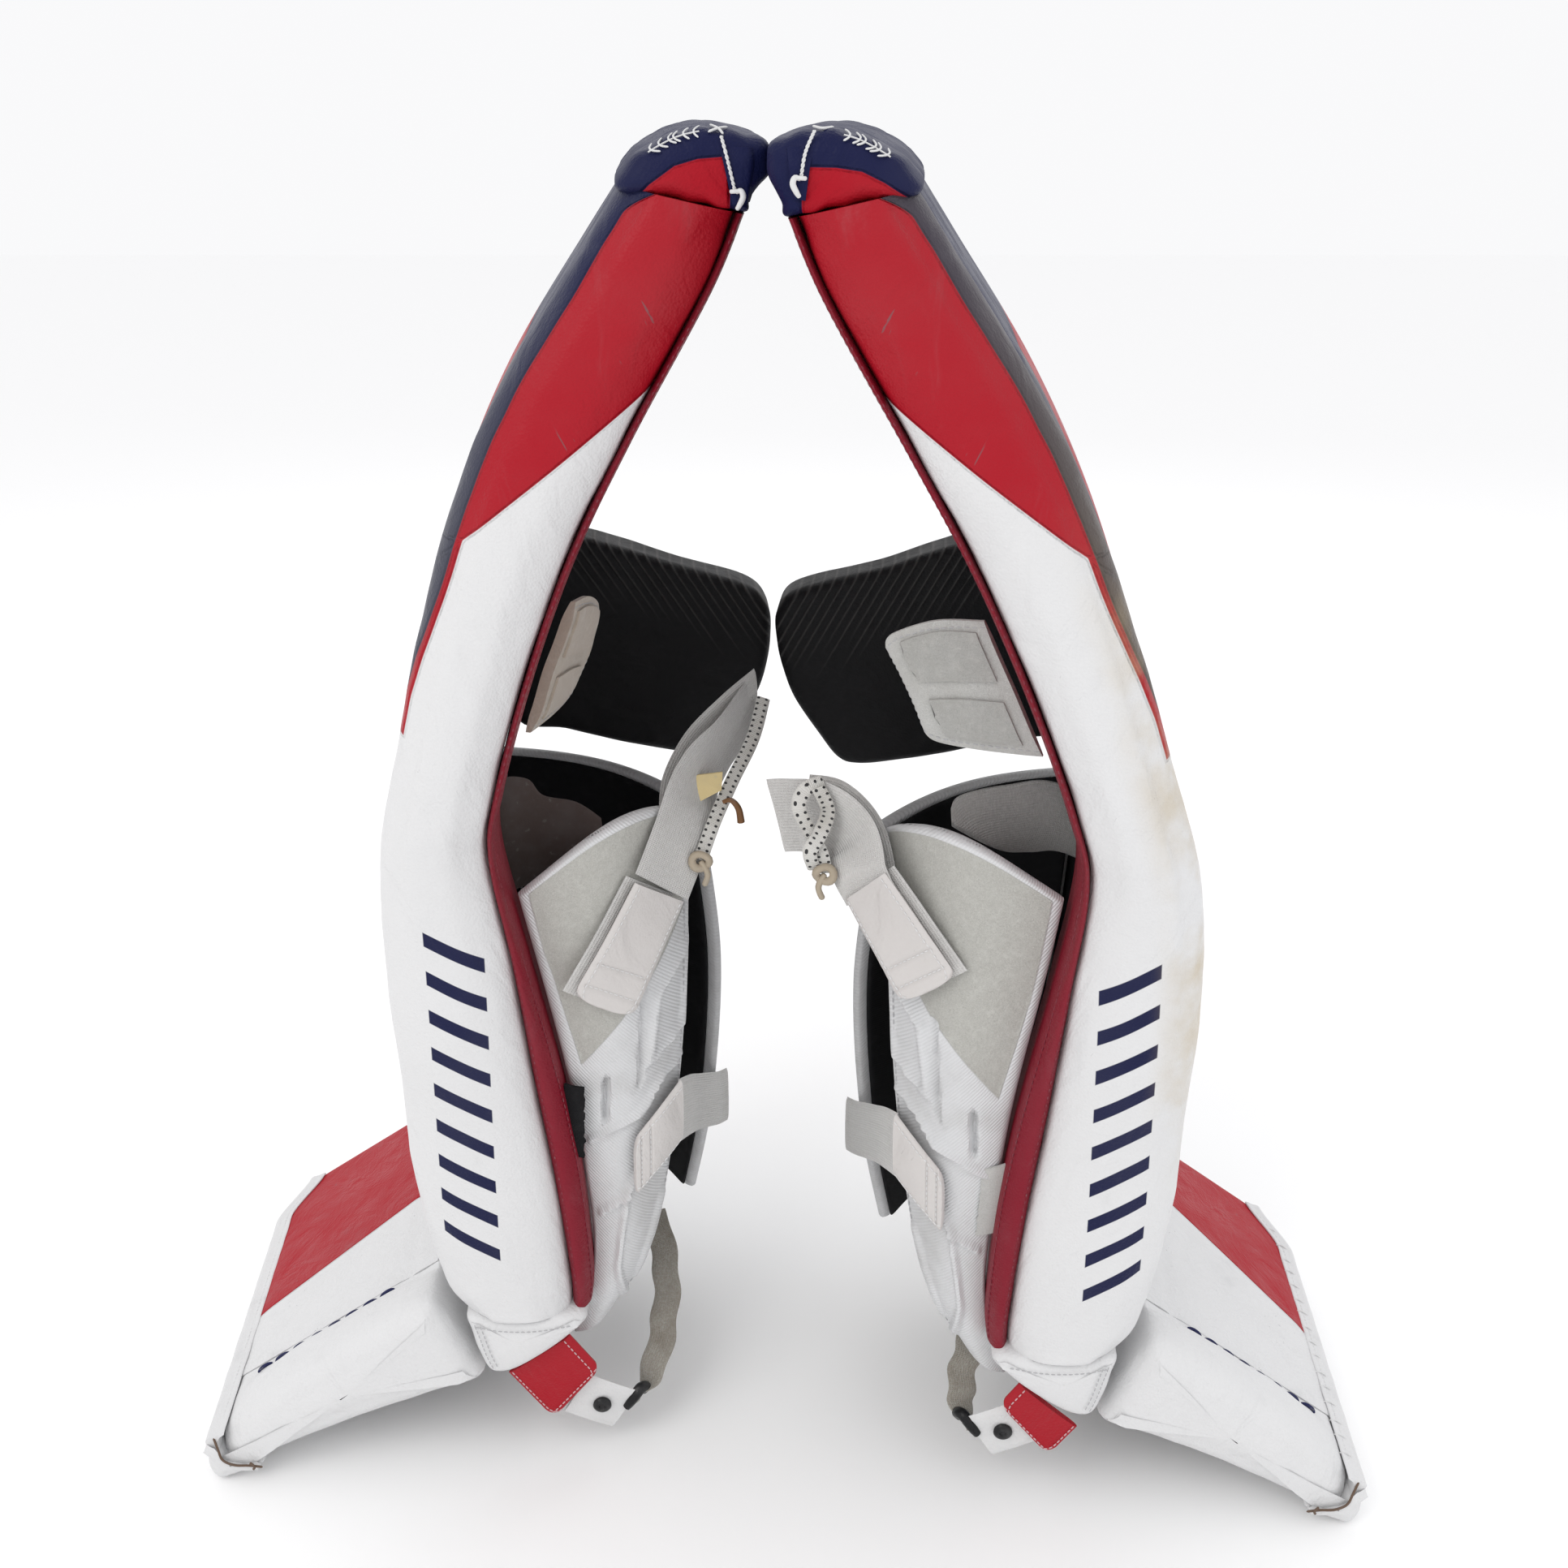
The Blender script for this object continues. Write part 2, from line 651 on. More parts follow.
def ribbon(path, width, thickness, steps, columns=8, crown=0.0, edge=0.0, shape=None, relief=None,
           sheared=False):
    """Rings for a flat strap along (centre, direction across) pairs, with rounded edges.

    shape(f) and relief(f) scale its width and its thickness at a share f of its length.
    """
    samples = spline([centre + across for centre, across in path], steps)
    rings = []
    for i, sample in enumerate(samples):
        centre = Vector(sample[:3])
        side = Vector(sample[3:]).normalized()
        before = Vector(samples[max(i - 1, 0)][:3])
        after = Vector(samples[min(i + 1, steps)][:3])
        tangent = (after - before).normalized()
        normal = tangent.cross(side).normalized()
        if not sheared:
            side = normal.cross(tangent).normalized()
        ring = []
        wide = 0.5 * width * (shape(i / steps) if shape else 1.0)
        thick = 0.5 * thickness * (relief(i / steps) if relief else 1.0)
        for face, order in ((1.0, range(columns + 1)), (-1.0, range(columns, -1, -1))):
            for k in order:
                t = 2.0 * k / columns - 1.0
                bead = 1.0 + edge * smooth_step(0.75, 0.95, abs(t))
                thin = math.sqrt(max(1.0 - abs(t) ** 8, 0.02)) * bead
                lift = face * thick * thin + crown * (1.0 - t * t)
                ring.append(tuple(centre + side * (wide * t) + normal * lift))
        rings.append(ring)
    return rings


# ---------------------------------------------------------------- the pads' long pieces

STEPS = 165


def section(t):
    """Front point, unit direction to the back, depth and gusset depth at t stations up."""
    flat = [front + back + (gusset,) for front, back, gusset in STATIONS]
    fu, fz, bu, bz, gusset = curve_point(flat, t)
    depth = math.hypot(bu - fu, bz - fz)
    return (fu, fz), ((bu - fu) / depth, (bz - fz) / depth), depth, gusset


def lengthwise(outline, low=0.0, high=len(STATIONS) - 1, steps=STEPS, lump=0.0):
    """Rings up the pad and their depths; outline(depth, gusset, t) gives (d, v) points."""
    rings = []
    depths = []
    for i in range(steps + 1):
        t = low + (high - low) * i / steps
        (fu, fz), (du, dz), depth, gusset = section(t)
        points = outline(depth, gusset, t)
        middle = (sum(d for d, _ in points) / len(points), sum(v for _, v in points) / len(points))
        ring = []
        for d, v in points:
            if lump:
                swell = lump * noise.noise(Vector((d * 22.0, v * 22.0, t * 1.9)))
                swell += 0.35 * lump * noise.noise(Vector((d * 60.0, v * 60.0, t * 5.0 + 9.0)))
                away = Vector((d - middle[0], v - middle[1])).normalized()
                d += away.x * swell
                v += away.y * swell
            ring.append((fu + du * d, v, fz + dz * d))
        rings.append(ring)
        depths.append([d for d, _ in points])
    return rings, depths


def on_section(t, d, v):
    (fu, fz), (du, dz), _, _ = section(t)
    return (fu + du * d, v, fz + dz * d)


def roll_outline(depth, gusset, t):
    """The outer roll's section: a crowned outer side with rounded corners."""
    back = depth - gusset
    side = -HALF_WIDTH
    full = 1.0 - 0.30 * smooth_step(10.6, 11.0, t)
    points = (
        (0.0012, ROLL_INNER_V - 0.0008),
        (0.0003, -0.098),
        (0.0008, side + 0.019),
        (0.0052, side + 0.0075),
        (0.0135, side + 0.0005),
        (0.32 * back, side - 0.0052 * full),
        (0.62 * back, side - 0.0060 * full),
        (back - 0.0125, side - 0.0012),
        (back - 0.0030, side + 0.0065),
        (back, side + 0.0160),
    )
    inner = ROLL_INNER_V - 0.0006
    return spline(points, 40) + [(back, -0.100), (back, inner), (0.5 * back, inner)]


def gusset_outline(depth, gusset, _):
    """The thin piping behind the roll."""
    front = depth - gusset + 0.0006
    side = -HALF_WIDTH
    bulge = 0.0012 + 0.05 * gusset
    points = (
        (front, side + 0.0115),
        (front + 0.25 * gusset, side + 0.0080 - bulge),
        (front + 0.62 * gusset, side + 0.0100 - bulge),
        (depth - 0.0006, side + 0.0150),
        (depth + 0.0004, side + 0.0230),
    )
    return spline(points, 14) + [(depth, ROLL_INNER_V - 0.003), (front, ROLL_INNER_V - 0.003)]


def face_bulge(t, v):
    """Shallow breaks across the front face above and below the knee, and a seam up it."""
    dip = 0.0
    for centre in (4.45, 5.75):
        dip += 0.0026 * math.exp(-((t - centre) / 0.055) ** 2)
    dip += 0.0016 * math.exp(-((v - 0.070) / 0.0022) ** 2)
    puff = 0.0022 * math.cos(math.pi * (v - 0.02) / 0.24) ** 2
    return dip - puff * (1.0 - 0.5 * smooth_step(9.5, 11.0, t))


def skin_outline(_, __, t):
    """The front face and the medial edge in one piece."""
    ring = []
    for k in range(45):
        v = ROLL_INNER_V + 0.0006 + (0.117 - ROLL_INNER_V) * k / 44
        edge = smooth_step(0.0, 0.012, v - ROLL_INNER_V)
        ring.append((0.0004 + edge * face_bulge(t, v) + 0.0012 * (1.0 - edge), v))
    corner = (
        ring[-1],
        (0.0022, 0.1262),
        (0.0078, 0.1322),
        (0.0160, HALF_WIDTH + 0.0006),
        (0.0300, HALF_WIDTH + 0.0012),
        (0.0420, HALF_WIDTH + 0.0004),
        (0.0478, HALF_WIDTH - 0.0040),
        (0.0500, HALF_WIDTH - 0.0110),
    )
    ring += spline(corner, 22)[1:]
    ring += [(0.0500, 0.1048), (0.0102, 0.1048), (0.0102, ROLL_INNER_V + 0.0006)]
    return ring


def lining_outline(_, __, t):
    """The padded knit lining on the leg's side, quilted across."""
    quilt = abs(math.sin(math.pi * t * 1.6)) ** 0.45
    ring = [(0.0108, ROLL_INNER_V + 0.0010), (0.0300, ROLL_INNER_V + 0.0010)]
    for k in range(31):
        f = k / 30
        v = ROLL_INNER_V + 0.0012 + (LINING_EDGE_V - ROLL_INNER_V - 0.0012) * f
        crown = (math.sin(math.pi * f)) ** 0.5
        ring.append((CORE_DEPTH - 0.0046 + 0.0046 * crown * (0.45 + 0.55 * quilt), v))
    ring += [(0.0300, LINING_EDGE_V), (0.0108, LINING_EDGE_V)]
    return ring


def cushion_outline(_, __, t):
    """The quilted cushion in the leg channel."""
    front = CORE_DEPTH + 0.0012
    quilt = abs(math.sin(math.pi * (t - 1.0) * 1.5)) ** 0.5
    low_v, high_v = CUSHION_V
    ring = [(front, low_v)]
    for k in range(31):
        f = k / 30
        crown = max(math.sin(math.pi * f), 0.0) ** 0.4
        ring.append((front + 0.0006 + 0.0092 * crown * (0.5 + 0.5 * quilt), low_v + (high_v - low_v) * f))
    ring.append((front, high_v))
    return ring


def face_zones(net):
    """Generic panels on the front: red thigh, white knee and shin, slanting navy bars."""
    _, v, z = net.split(net.uvz)

    def over(z_outer, slope):
        level = net.math("MULTIPLY_ADD", net.sub(v, ROLL_INNER_V), slope, z_outer)
        return net.sub(z, level)

    def band(z_outer, slope, height):
        lower = over(z_outer, slope)
        return net.least(lower, net.sub(height, lower))

    yield over(0.590, -0.42), RED
    edge = net.sub(net.step(z, 0.50, 0.74, -0.078, -0.040), v)
    yield net.least(edge, net.sub(z, 0.500)), SLATE
    yield over(0.700, 0.16), NAVY
    yield band(0.300, 0.34, 0.020), NAVY
    yield band(0.262, 0.34, 0.009), RED


def seam_path(place_on):
    """A line up the pad's outer side; place_on(depth, gusset) gives its (d, v)."""
    path = []
    for i in range(121):
        t = 0.15 + 10.6 * i / 120
        _, _, depth, gusset = section(t)
        path.append(on_section(t, *place_on(depth, gusset)))
    return path


def build_long_pieces(side, paint):
    for name, look, outline, lump, slot, nodes, fill in (
        ("outer_roll", "roll_" + side, roll_outline, 0.0009, "white_leather", ("outer_roll",), 0.9),
        ("gusset", "gusset", gusset_outline, 0.0004, "dark_red_leather", ("gusset",), None),
        ("face", "face", skin_outline, 0.0, "white_leather", ("face", "inner_roll"), 0.95),
        ("lining", "lining", lining_outline, 0.0, "foam", ("core",), 0.8),
    ):
        rings, depths = lengthwise(outline, lump=lump)
        stands_for = [f"{part}_{node}" for node in nodes for part in ("thigh", "shin")]
        build(Shape().loft(rings, depths), side, name, paint[look], bend=KNEE_BEND, slot=slot,
              stands_for=stands_for, fill=fill)
    rings, depths = lengthwise(cushion_outline, 1.0, 4.0, 70)
    build(Shape().loft(rings, depths), side, "shin_cushion", paint["cushion"], body="shin", slot="felt",
          stands_for=("shin_cushion",), fill=0.6)

    front = seam_path(lambda depth, gusset: (depth - gusset + 0.0016 + 0.12 * gusset, -HALF_WIDTH + 0.0068))
    back = seam_path(lambda depth, gusset: (depth - 0.0008, -HALF_WIDTH + 0.0134))
    thread = stitches(Shape(), front, spacing=0.0052, length=0.0022, radius=0.00045)
    stitches(thread, back, spacing=0.0046, length=0.0030, radius=0.00034)
    build(thread, side, "gusset_stitches", paint["red_thread"], bend=KNEE_BEND, slot="dark_red_leather")


# ---------------------------------------------------------------- top cap, lacing

CAP_MIDDLE = (-0.043, 0.792)
CAP_TIP = {"left": -0.0035, "right": -0.0065}
# (v, growth of the outline from the cap's middle), from the outer end to the inner one
CAP_END = (
    (-0.1365, 0.10), (-0.1362, 0.45), (-0.1352, 0.70), (-0.1325, 0.86), (-0.1280, 0.95), (-0.1200, 0.99),
    (-0.1000, 1.0),
)
CAP_REST = (
    (-0.0500, 1.015), (0.0, 1.02), (0.0500, 1.015), (0.1000, 1.0), (0.1200, 0.985),
    (0.1275, 0.95), (0.1318, 0.86), (0.1338, 0.70), (0.1348, 0.45), (0.1350, 0.10),
)
CAP_SEAM = {
    "left": ((-0.0272, 0.8010), (-0.0397, 0.8001), (-0.0510, 0.7969), (-0.0633, 0.7885), (-0.0713, 0.7808)),
    "right": ((-0.0287, 0.7976), (-0.0403, 0.7974), (-0.0523, 0.7957), (-0.0628, 0.7908), (-0.0742, 0.7838)),
}
TONGUE_EDGES = {
    "left": (((-0.0292, 0.8060), (-0.0280, 0.8005), (-0.0254, 0.7890), (-0.0234, 0.7795)),
             ((-0.0085, 0.8050), (-0.0094, 0.7950), (-0.0120, 0.7865), (-0.0142, 0.7799))),
    "right": (((-0.0302, 0.8070), (-0.0287, 0.8000), (-0.0274, 0.7910), (-0.0263, 0.7830)),
              ((-0.0130, 0.8060), (-0.0150, 0.8000), (-0.0170, 0.7920), (-0.0191, 0.7844))),
}
LACE_PATHS = {
    "left": ((-0.0283, 0.8105), (-0.0250, 0.7975), (-0.0220, 0.7850)),
    "right": ((-0.0302, 0.8135), (-0.0262, 0.8041), (-0.0243, 0.7925)),
}
LACE_ENDS = {
    "left": (
        (((24, 0.86), (26, 0.93), (28, 0.97)), 0.00062),
        (((24, 0.99), (26, 0.93), (28, 0.84)), 0.00062),
    ),
    "right": ((((22, 0.985), (24, 0.95), (26, 0.985)), 0.00070),),
}
LACE_BOW = (
    (0.0, -0.1398, 0.0), (0.0026, -0.1410, 0.0008), (0.0036, -0.1414, -0.0020), (0.0018, -0.1412, -0.0058),
    (0.0004, -0.1404, -0.0078),
)
LACE_WRAP = ((-0.0026, -0.1396, 0.0004), (0.0, -0.1408, 0.0006), (0.0034, -0.1410, 0.0010))
WHIP_SPAN = {"left": (12, 22), "right": (11, 20)}


def cap_outline(side, grow=1.0):
    tip = CAP_TIP[side]
    shape = (
        (-0.0790, 0.7860),
        (-0.0745, 0.7975),
        (-0.0640, 0.8052),
        (-0.0490, 0.8122),
        (-0.0330, 0.8150),
        (-0.0200, 0.8135),
        (tip - 0.0020, 0.8085),
        (tip, 0.8000),
        (tip - 0.0010, 0.7920),
        (-0.0135, 0.7815),
        (-0.0170, 0.7745),
        (-0.0450, 0.7800),
    )
    return [mix(CAP_MIDDLE, p, grow) for p in spline(shape, 72, closed=True)]


def cap_point(side, index, grow):
    """A point just over the cap's outer end: index round its outline, grow 0 at its middle, 1 at its rim."""
    u, z = cap_outline(side, grow)[index]
    v = -0.1365
    for (a, low), (b, high) in zip(CAP_END, CAP_END[1:]):
        if low <= grow <= high:
            v = a + (b - a) * (grow - low) / (high - low)
    return (u, v - 0.0010, z + 0.0005)


def cap_zones(side):
    """Red leather of the roll carried up to the cap's slanting seam."""
    def zones(net):
        u, v, z = net.split(net.uvz)
        seams = [line_sign(net, u, z, a, b) for a, b in zip(CAP_SEAM[side], CAP_SEAM[side][1:])]
        yield net.least(net.sub(-0.1240, v), net.sub(-0.0245, u), *seams), RED

    return zones


def build_cap(side, paint):
    rings = [at_v(cap_outline(side, grow), v) for v, grow in CAP_END + CAP_REST]
    smooth = []
    for a, b in zip(rings, rings[1:]):
        gap = abs(b[0][1] - a[0][1])
        parts = max(int(gap / 0.006), 1)
        for k in range(parts):
            smooth.append([mix(p, q, k / parts) for p, q in zip(a, b)])
    smooth.append(rings[-1])
    for ring in smooth:
        for k, (u, v, z) in enumerate(ring):
            swell = 0.0013 * noise.noise(Vector((u * 60.0, v * 32.0, z * 60.0)))
            fold = 0.0010 * math.sin(u * 420.0 + v * 60.0) * smooth_step(-0.05, -0.12, v)
            ring[k] = (u, v, z + swell + fold * 0.6)
    build(Shape().loft(smooth), side, "top_cap", paint["cap_" + side], body="thigh", slot="navy_leather",
          stands_for=("top_cap",), fill=0.85)
    front, back = TONGUE_EDGES[side]

    def on_tongue(f, g):
        fu, fz = curve_at(front, f)
        bu, bz = curve_at(back, f)
        u, z = fu + (bu - fu) * g, fz + (bz - fz) * g
        v = -HALF_WIDTH - 0.0038 - math.sin(math.pi * g) * 0.0012
        v += 0.012 * smooth_step(0.72, 1.0, g) + 0.0040 * smooth_step(0.797, 0.808, z)
        return (u, v, z), (u, v + 0.0016, z)

    build(Shape().panel(26, 12, on_tongue), side, "cap_tongue", paint["navy"], body="thigh",
          slot="navy_leather")
    build_lacing(side, paint)


def build_lacing(side, paint):
    """The cap's twisted lace with its knot, the ends at the top and the row of whip stitches."""
    lace = Shape()
    strands = ([], [])
    samples = spline(LACE_PATHS[side], 60)
    for i, (u, z) in enumerate(samples):
        v = -HALF_WIDTH - 0.0056 + 0.0046 * smooth_step(0.798, 0.812, z)
        for strand, phase in zip(strands, (0.0, math.pi)):
            turn = 0.62 * i + phase
            strand.append((u + 0.00045 * math.sin(turn), v - 0.00035 * math.cos(turn), z))
    for strand in strands:
        tube(lace, strand, 0.00048, sides=6, taper=0.6)
    for points, radius in LACE_ENDS[side]:
        cord(lace, [cap_point(side, *point) for point in points], 10, radius, taper=0.5)
    u, z = samples[-1]
    bow = [(u + a, b, z + c) for a, b, c in LACE_BOW]
    cord(lace, bow, 20, 0.0009, 0.0006, taper=0.5)
    cord(lace, [(u + a, b, z + c) for a, b, c in LACE_WRAP], 10, 0.0010, taper=0.6)
    first, last = WHIP_SPAN[side]
    cord(lace, [cap_point(side, k, 0.885) for k in range(first - 1, last + 1)], 30, 0.00042, sides=6)
    for i in range(6):
        k = first + round((last - first - 1) * i / 5)
        whip = ((k + 1, 0.985), (k, 0.94), (k, 0.86), (k + 1, 0.77))
        cord(lace, [cap_point(side, *point) for point in whip], 12, 0.00050, sides=6, taper=0.5)
    build(lace, side, "cap_lacing", paint["white_thread"], body="thigh", slot="white_leather")

# ---------------------------------------------------------------- boot

RUN = Vector((CREASE[0] - TOE_TOP[0], CREASE[1] - TOE_TOP[1])).normalized()
OUT = Vector((-RUN.y, RUN.x))
BOOT_FACE = 0.008
TOE_CUT = 0.021
ROLL_CROWN_V = -0.1160
ROLL_SEAM_V = -0.0885
ROLL_SEAM_HEIGHT = 0.0078
TOE_CORNER = (
    (-0.3690, 0.0300), (-0.3694, 0.0180), (-0.3682, 0.0060), (-0.3630, 0.0008), (-0.3540, 0.0026),
    (-0.3420, 0.0072), (-0.3345, 0.0108), (-0.3370, 0.0142), (-0.3470, 0.0140), (-0.3560, 0.0160),
    (-0.3618, 0.0230),
)
TOE_BINDING = (
    (-0.3614, 0.0008), (-0.3646, 0.0008), (-0.3654, 0.0090), (-0.3662, 0.0190), (-0.3684, 0.0262),
    (-0.3692, 0.0312), (-0.3668, 0.0340), (-0.3626, 0.0351), (-0.3578, 0.0372), (-0.3572, 0.0358),
    (-0.3610, 0.0322), (-0.3614, 0.0238),
)
BOOT_SEAM = {"left": ((0.0124, -0.0208), (0.1357, 0.0072)), "right": ((0.0000, -0.0060), (0.1115, 0.0450))}
BOOT_SOLE = (
    (-0.3000, 0.0195), (-0.2500, 0.0402), (-0.2050, 0.0572), (-0.1972, 0.0630), (-0.1966, 0.0740),
    (-0.1985, 0.0880), (-0.2070, 0.1020), (-0.2150, 0.1125),
)
SOLE = (0.03, 0.03, 0.033)
# Threads on the boot: (along, across, out of the face), from each one's start
BOOT_DASH = ((0.0, 0.0, 0.0084), (0.0030, 0.0004, 0.0096), (0.0080, 0.0012, 0.0096), (0.0112, 0.0016, 0.0084))
TOE_WHIPS = {"left": 0, "right": 16}
TOE_WHIP = (
    (0.0108, 0.0024, 0.0078), (0.0072, 0.0020, 0.0102), (0.0000, 0.0006, 0.0098), (-0.0048, -0.0006, 0.0076),
    (-0.0066, -0.0014, 0.0030),
)
CORNER_LACE = (
    (-0.3640, -0.1330, 0.0335), (-0.3612, -0.1362, 0.0262), (-0.3590, -0.1374, 0.0190),
    (-0.3520, -0.1380, 0.0148), (-0.3430, -0.1382, 0.0140), (-0.3345, -0.1378, 0.0118),
)
CORNER_LACE_END = ((-0.3420, -0.1385, 0.0165), (-0.3392, -0.1394, 0.0140), (-0.3402, -0.1388, 0.0112))


def boot_axes(point):
    """(along the face from the toe, across, out of the face) of a point."""
    du = point[0] - TOE_TOP[0]
    dz = point[2] - TOE_TOP[1]
    return (du * RUN.x + dz * RUN.y, point[1], du * OUT.x + dz * OUT.y)


def on_boot(along_it, v, out):
    return (TOE_TOP[0] + RUN.x * along_it + OUT.x * out, v, TOE_TOP[1] + RUN.y * along_it + OUT.y * out)


def inset(outline, distance):
    """A closed convex outline moved inwards."""
    count = len(outline)
    area = sum(a[0] * b[1] - b[0] * a[1] for a, b in zip(outline, outline[1:] + outline[:1]))
    turn = 1.0 if area > 0 else -1.0
    moved = []
    for k, (x, y) in enumerate(outline):
        a = outline[k - 1]
        b = outline[(k + 1) % count]
        dx, dy = b[0] - a[0], b[1] - a[1]
        size = math.hypot(dx, dy) or 1.0
        moved.append((x - turn * dy / size * distance, y + turn * dx / size * distance))
    return moved


CROWN_SHARES = (0.04, 0.25, 0.5, 0.72, 0.88, 0.96)


def pillow(outline, outer_v, inner_v, radius, dome=0.002, spread=10, both=False):
    """Rings across the pad for a padded form with a rounded outer rim and a crowned outer face."""
    middle = (sum(p[0] for p in outline) / len(outline), sum(p[1] for p in outline) / len(outline))
    toward = 1.0 if inner_v > outer_v else -1.0
    rim = inset(outline, radius)

    def crown(face_v, height, share):
        return at_v([mix(middle, p, share) for p in rim], face_v + height * (1.0 - share ** 2.2))

    def corner(face_v, inward, k):
        angle = 0.5 * math.pi * k / 6
        ring = inset(outline, radius * (1.0 - math.sin(angle)))
        return at_v(ring, face_v + inward * (1.0 - math.cos(angle)))

    rings = [crown(outer_v, -toward * dome, share) for share in CROWN_SHARES]
    rings += [corner(outer_v, toward * radius, k) for k in range(7)]
    start = outer_v + toward * radius
    stop = inner_v - toward * radius if both else inner_v
    rings += [at_v(outline, start + (stop - start) * k / spread) for k in range(1, spread + 1)]
    if both:
        rings += [corner(inner_v, -toward * radius, 6 - k) for k in range(1, 7)]
        rings += [crown(inner_v, toward * 0.5 * dome, share) for share in reversed(CROWN_SHARES)]
    return rings


def lumpy(rings, amount, scale=30.0):
    """Soft unevenness over a padded form."""
    def moved(point):
        broad = noise.noise_vector(Vector([c * scale for c in point]))
        finer = [c * scale * 2.7 + shift for c, shift in zip(point, (0.0, 0.0, 5.0))]
        fine = noise.noise_vector(Vector(finer))
        u, v, z = (c + amount * (a + 0.4 * b) for c, a, b in zip(point, broad, fine))
        return (u, v, max(z, FLOOR_GAP))

    return [[moved(point) for point in ring] for ring in rings]


BOOT_ROLL = (
    (-0.3603, 0.0040), (-0.3500, 0.0062), (-0.3300, 0.0135), (-0.3000, 0.0262), (-0.2620, 0.0408),
    (-0.2250, 0.0540), (-0.1925, 0.0652), (-0.1955, 0.0815), (-0.2050, 0.1005), (-0.2120, 0.1135),
    (-0.2215, 0.1248), (-0.2360, 0.1225), (-0.2510, 0.1145), (-0.2850, 0.0945), (-0.3180, 0.0730),
    (-0.3400, 0.0545), (-0.3530, 0.0400), (-0.3603, 0.0270),
)


def slumped(rings):
    """The boot roll's top rounded down to the boot's face at its seam."""
    def moved(point):
        along_it, v, height = boot_axes(point)
        t = smooth_ramp(ROLL_CROWN_V, ROLL_SEAM_V, v)
        if height > ROLL_SEAM_HEIGHT:
            height = ROLL_SEAM_HEIGHT + (height - ROLL_SEAM_HEIGHT) * math.sqrt(1.0 - t * t)
        return on_boot(along_it, v, height)

    return [[moved(point) for point in ring] for ring in rings]


def toe_cut(v):
    """How far the toe is cut back at v."""
    return TOE_CUT * smooth_step(0.094, 0.132, v)


def boot_outline(v):
    """The boot's side outline at v, its toe cut back near the inner edge."""
    cut = toe_cut(v)
    crown = 0.0022 * math.cos(math.pi * (v - 0.024) / 0.22)
    points = [(TOE_TOP[0] + cut + 0.0004, 0.0005)]
    points += spline([(-0.3430 + 0.4 * cut, 0.0005), *BOOT_SOLE], 40)
    top = 0.1700
    for k in range(41):
        along_it = top + (cut / RUN.x - top) * k / 40
        edge = smooth_step(cut / RUN.x, cut / RUN.x + 0.02, along_it) * smooth_step(top, top - 0.02, along_it)
        dip = 0.0010 * math.exp(-((along_it - 0.148) / 0.004) ** 2)
        point = on_boot(along_it, v, BOOT_FACE - 0.0006 + crown * edge - dip)
        points.append((point[0], point[2]))
    return points


def boot_zones(side):
    """Red over the slanting seam of the boot's face, dark below it."""
    def zones(net):
        along_it, v, height = net.split(net.aux)
        across = line_sign(net, along_it, v, *BOOT_SEAM[side])
        yield net.least(across, net.sub(height, 0.0035)), RED
        yield net.sub(-0.0005, height), SOLE

    return zones


def boot_piece(rings, side, *args, **kwargs):
    """A piece of the boot whose surface coordinates run along and out of the boot's face."""
    shape = Shape().loft(rings)
    shape.aux = [boot_axes(p) for p in shape.points]
    build(shape, side, *args, body="boot", slot="white_leather", **kwargs)


def build_boot(side, paint):
    start = ROLL_INNER_V + 0.0008
    rings = []
    for k in range(53):
        v = start + (0.1290 - start) * k / 52
        rings.append(at_v(boot_outline(v), v))
    boot_piece(rings, side, "boot_body", paint["boot_" + side],
               stands_for=("boot_core", "boot_face"), fill=0.9)
    roll = pillow(spline(BOOT_ROLL, 120, closed=True), -0.1350, ROLL_INNER_V - 0.0006, 0.0165, 0.0022, 26)
    boot_piece(lumpy(slumped(roll), 0.0011), side, "boot_roll", paint["white"],
               stands_for=("boot_outer_roll",), fill=0.85)

    dashes = Shape()
    for k in range(8):
        along_it = 0.026 + 0.0142 * k
        v = ROLL_SEAM_V + 0.0004 + 0.0022 * k / 7
        path = [on_boot(along_it + a, v + b, out) for a, b, out in BOOT_DASH]
        cord(dashes, path, 10, 0.0006, 0.0007)
    build(dashes, side, "boot_dashes", paint["navy_thread"], body="boot", slot="navy_leather")
    build_binding(side, paint)


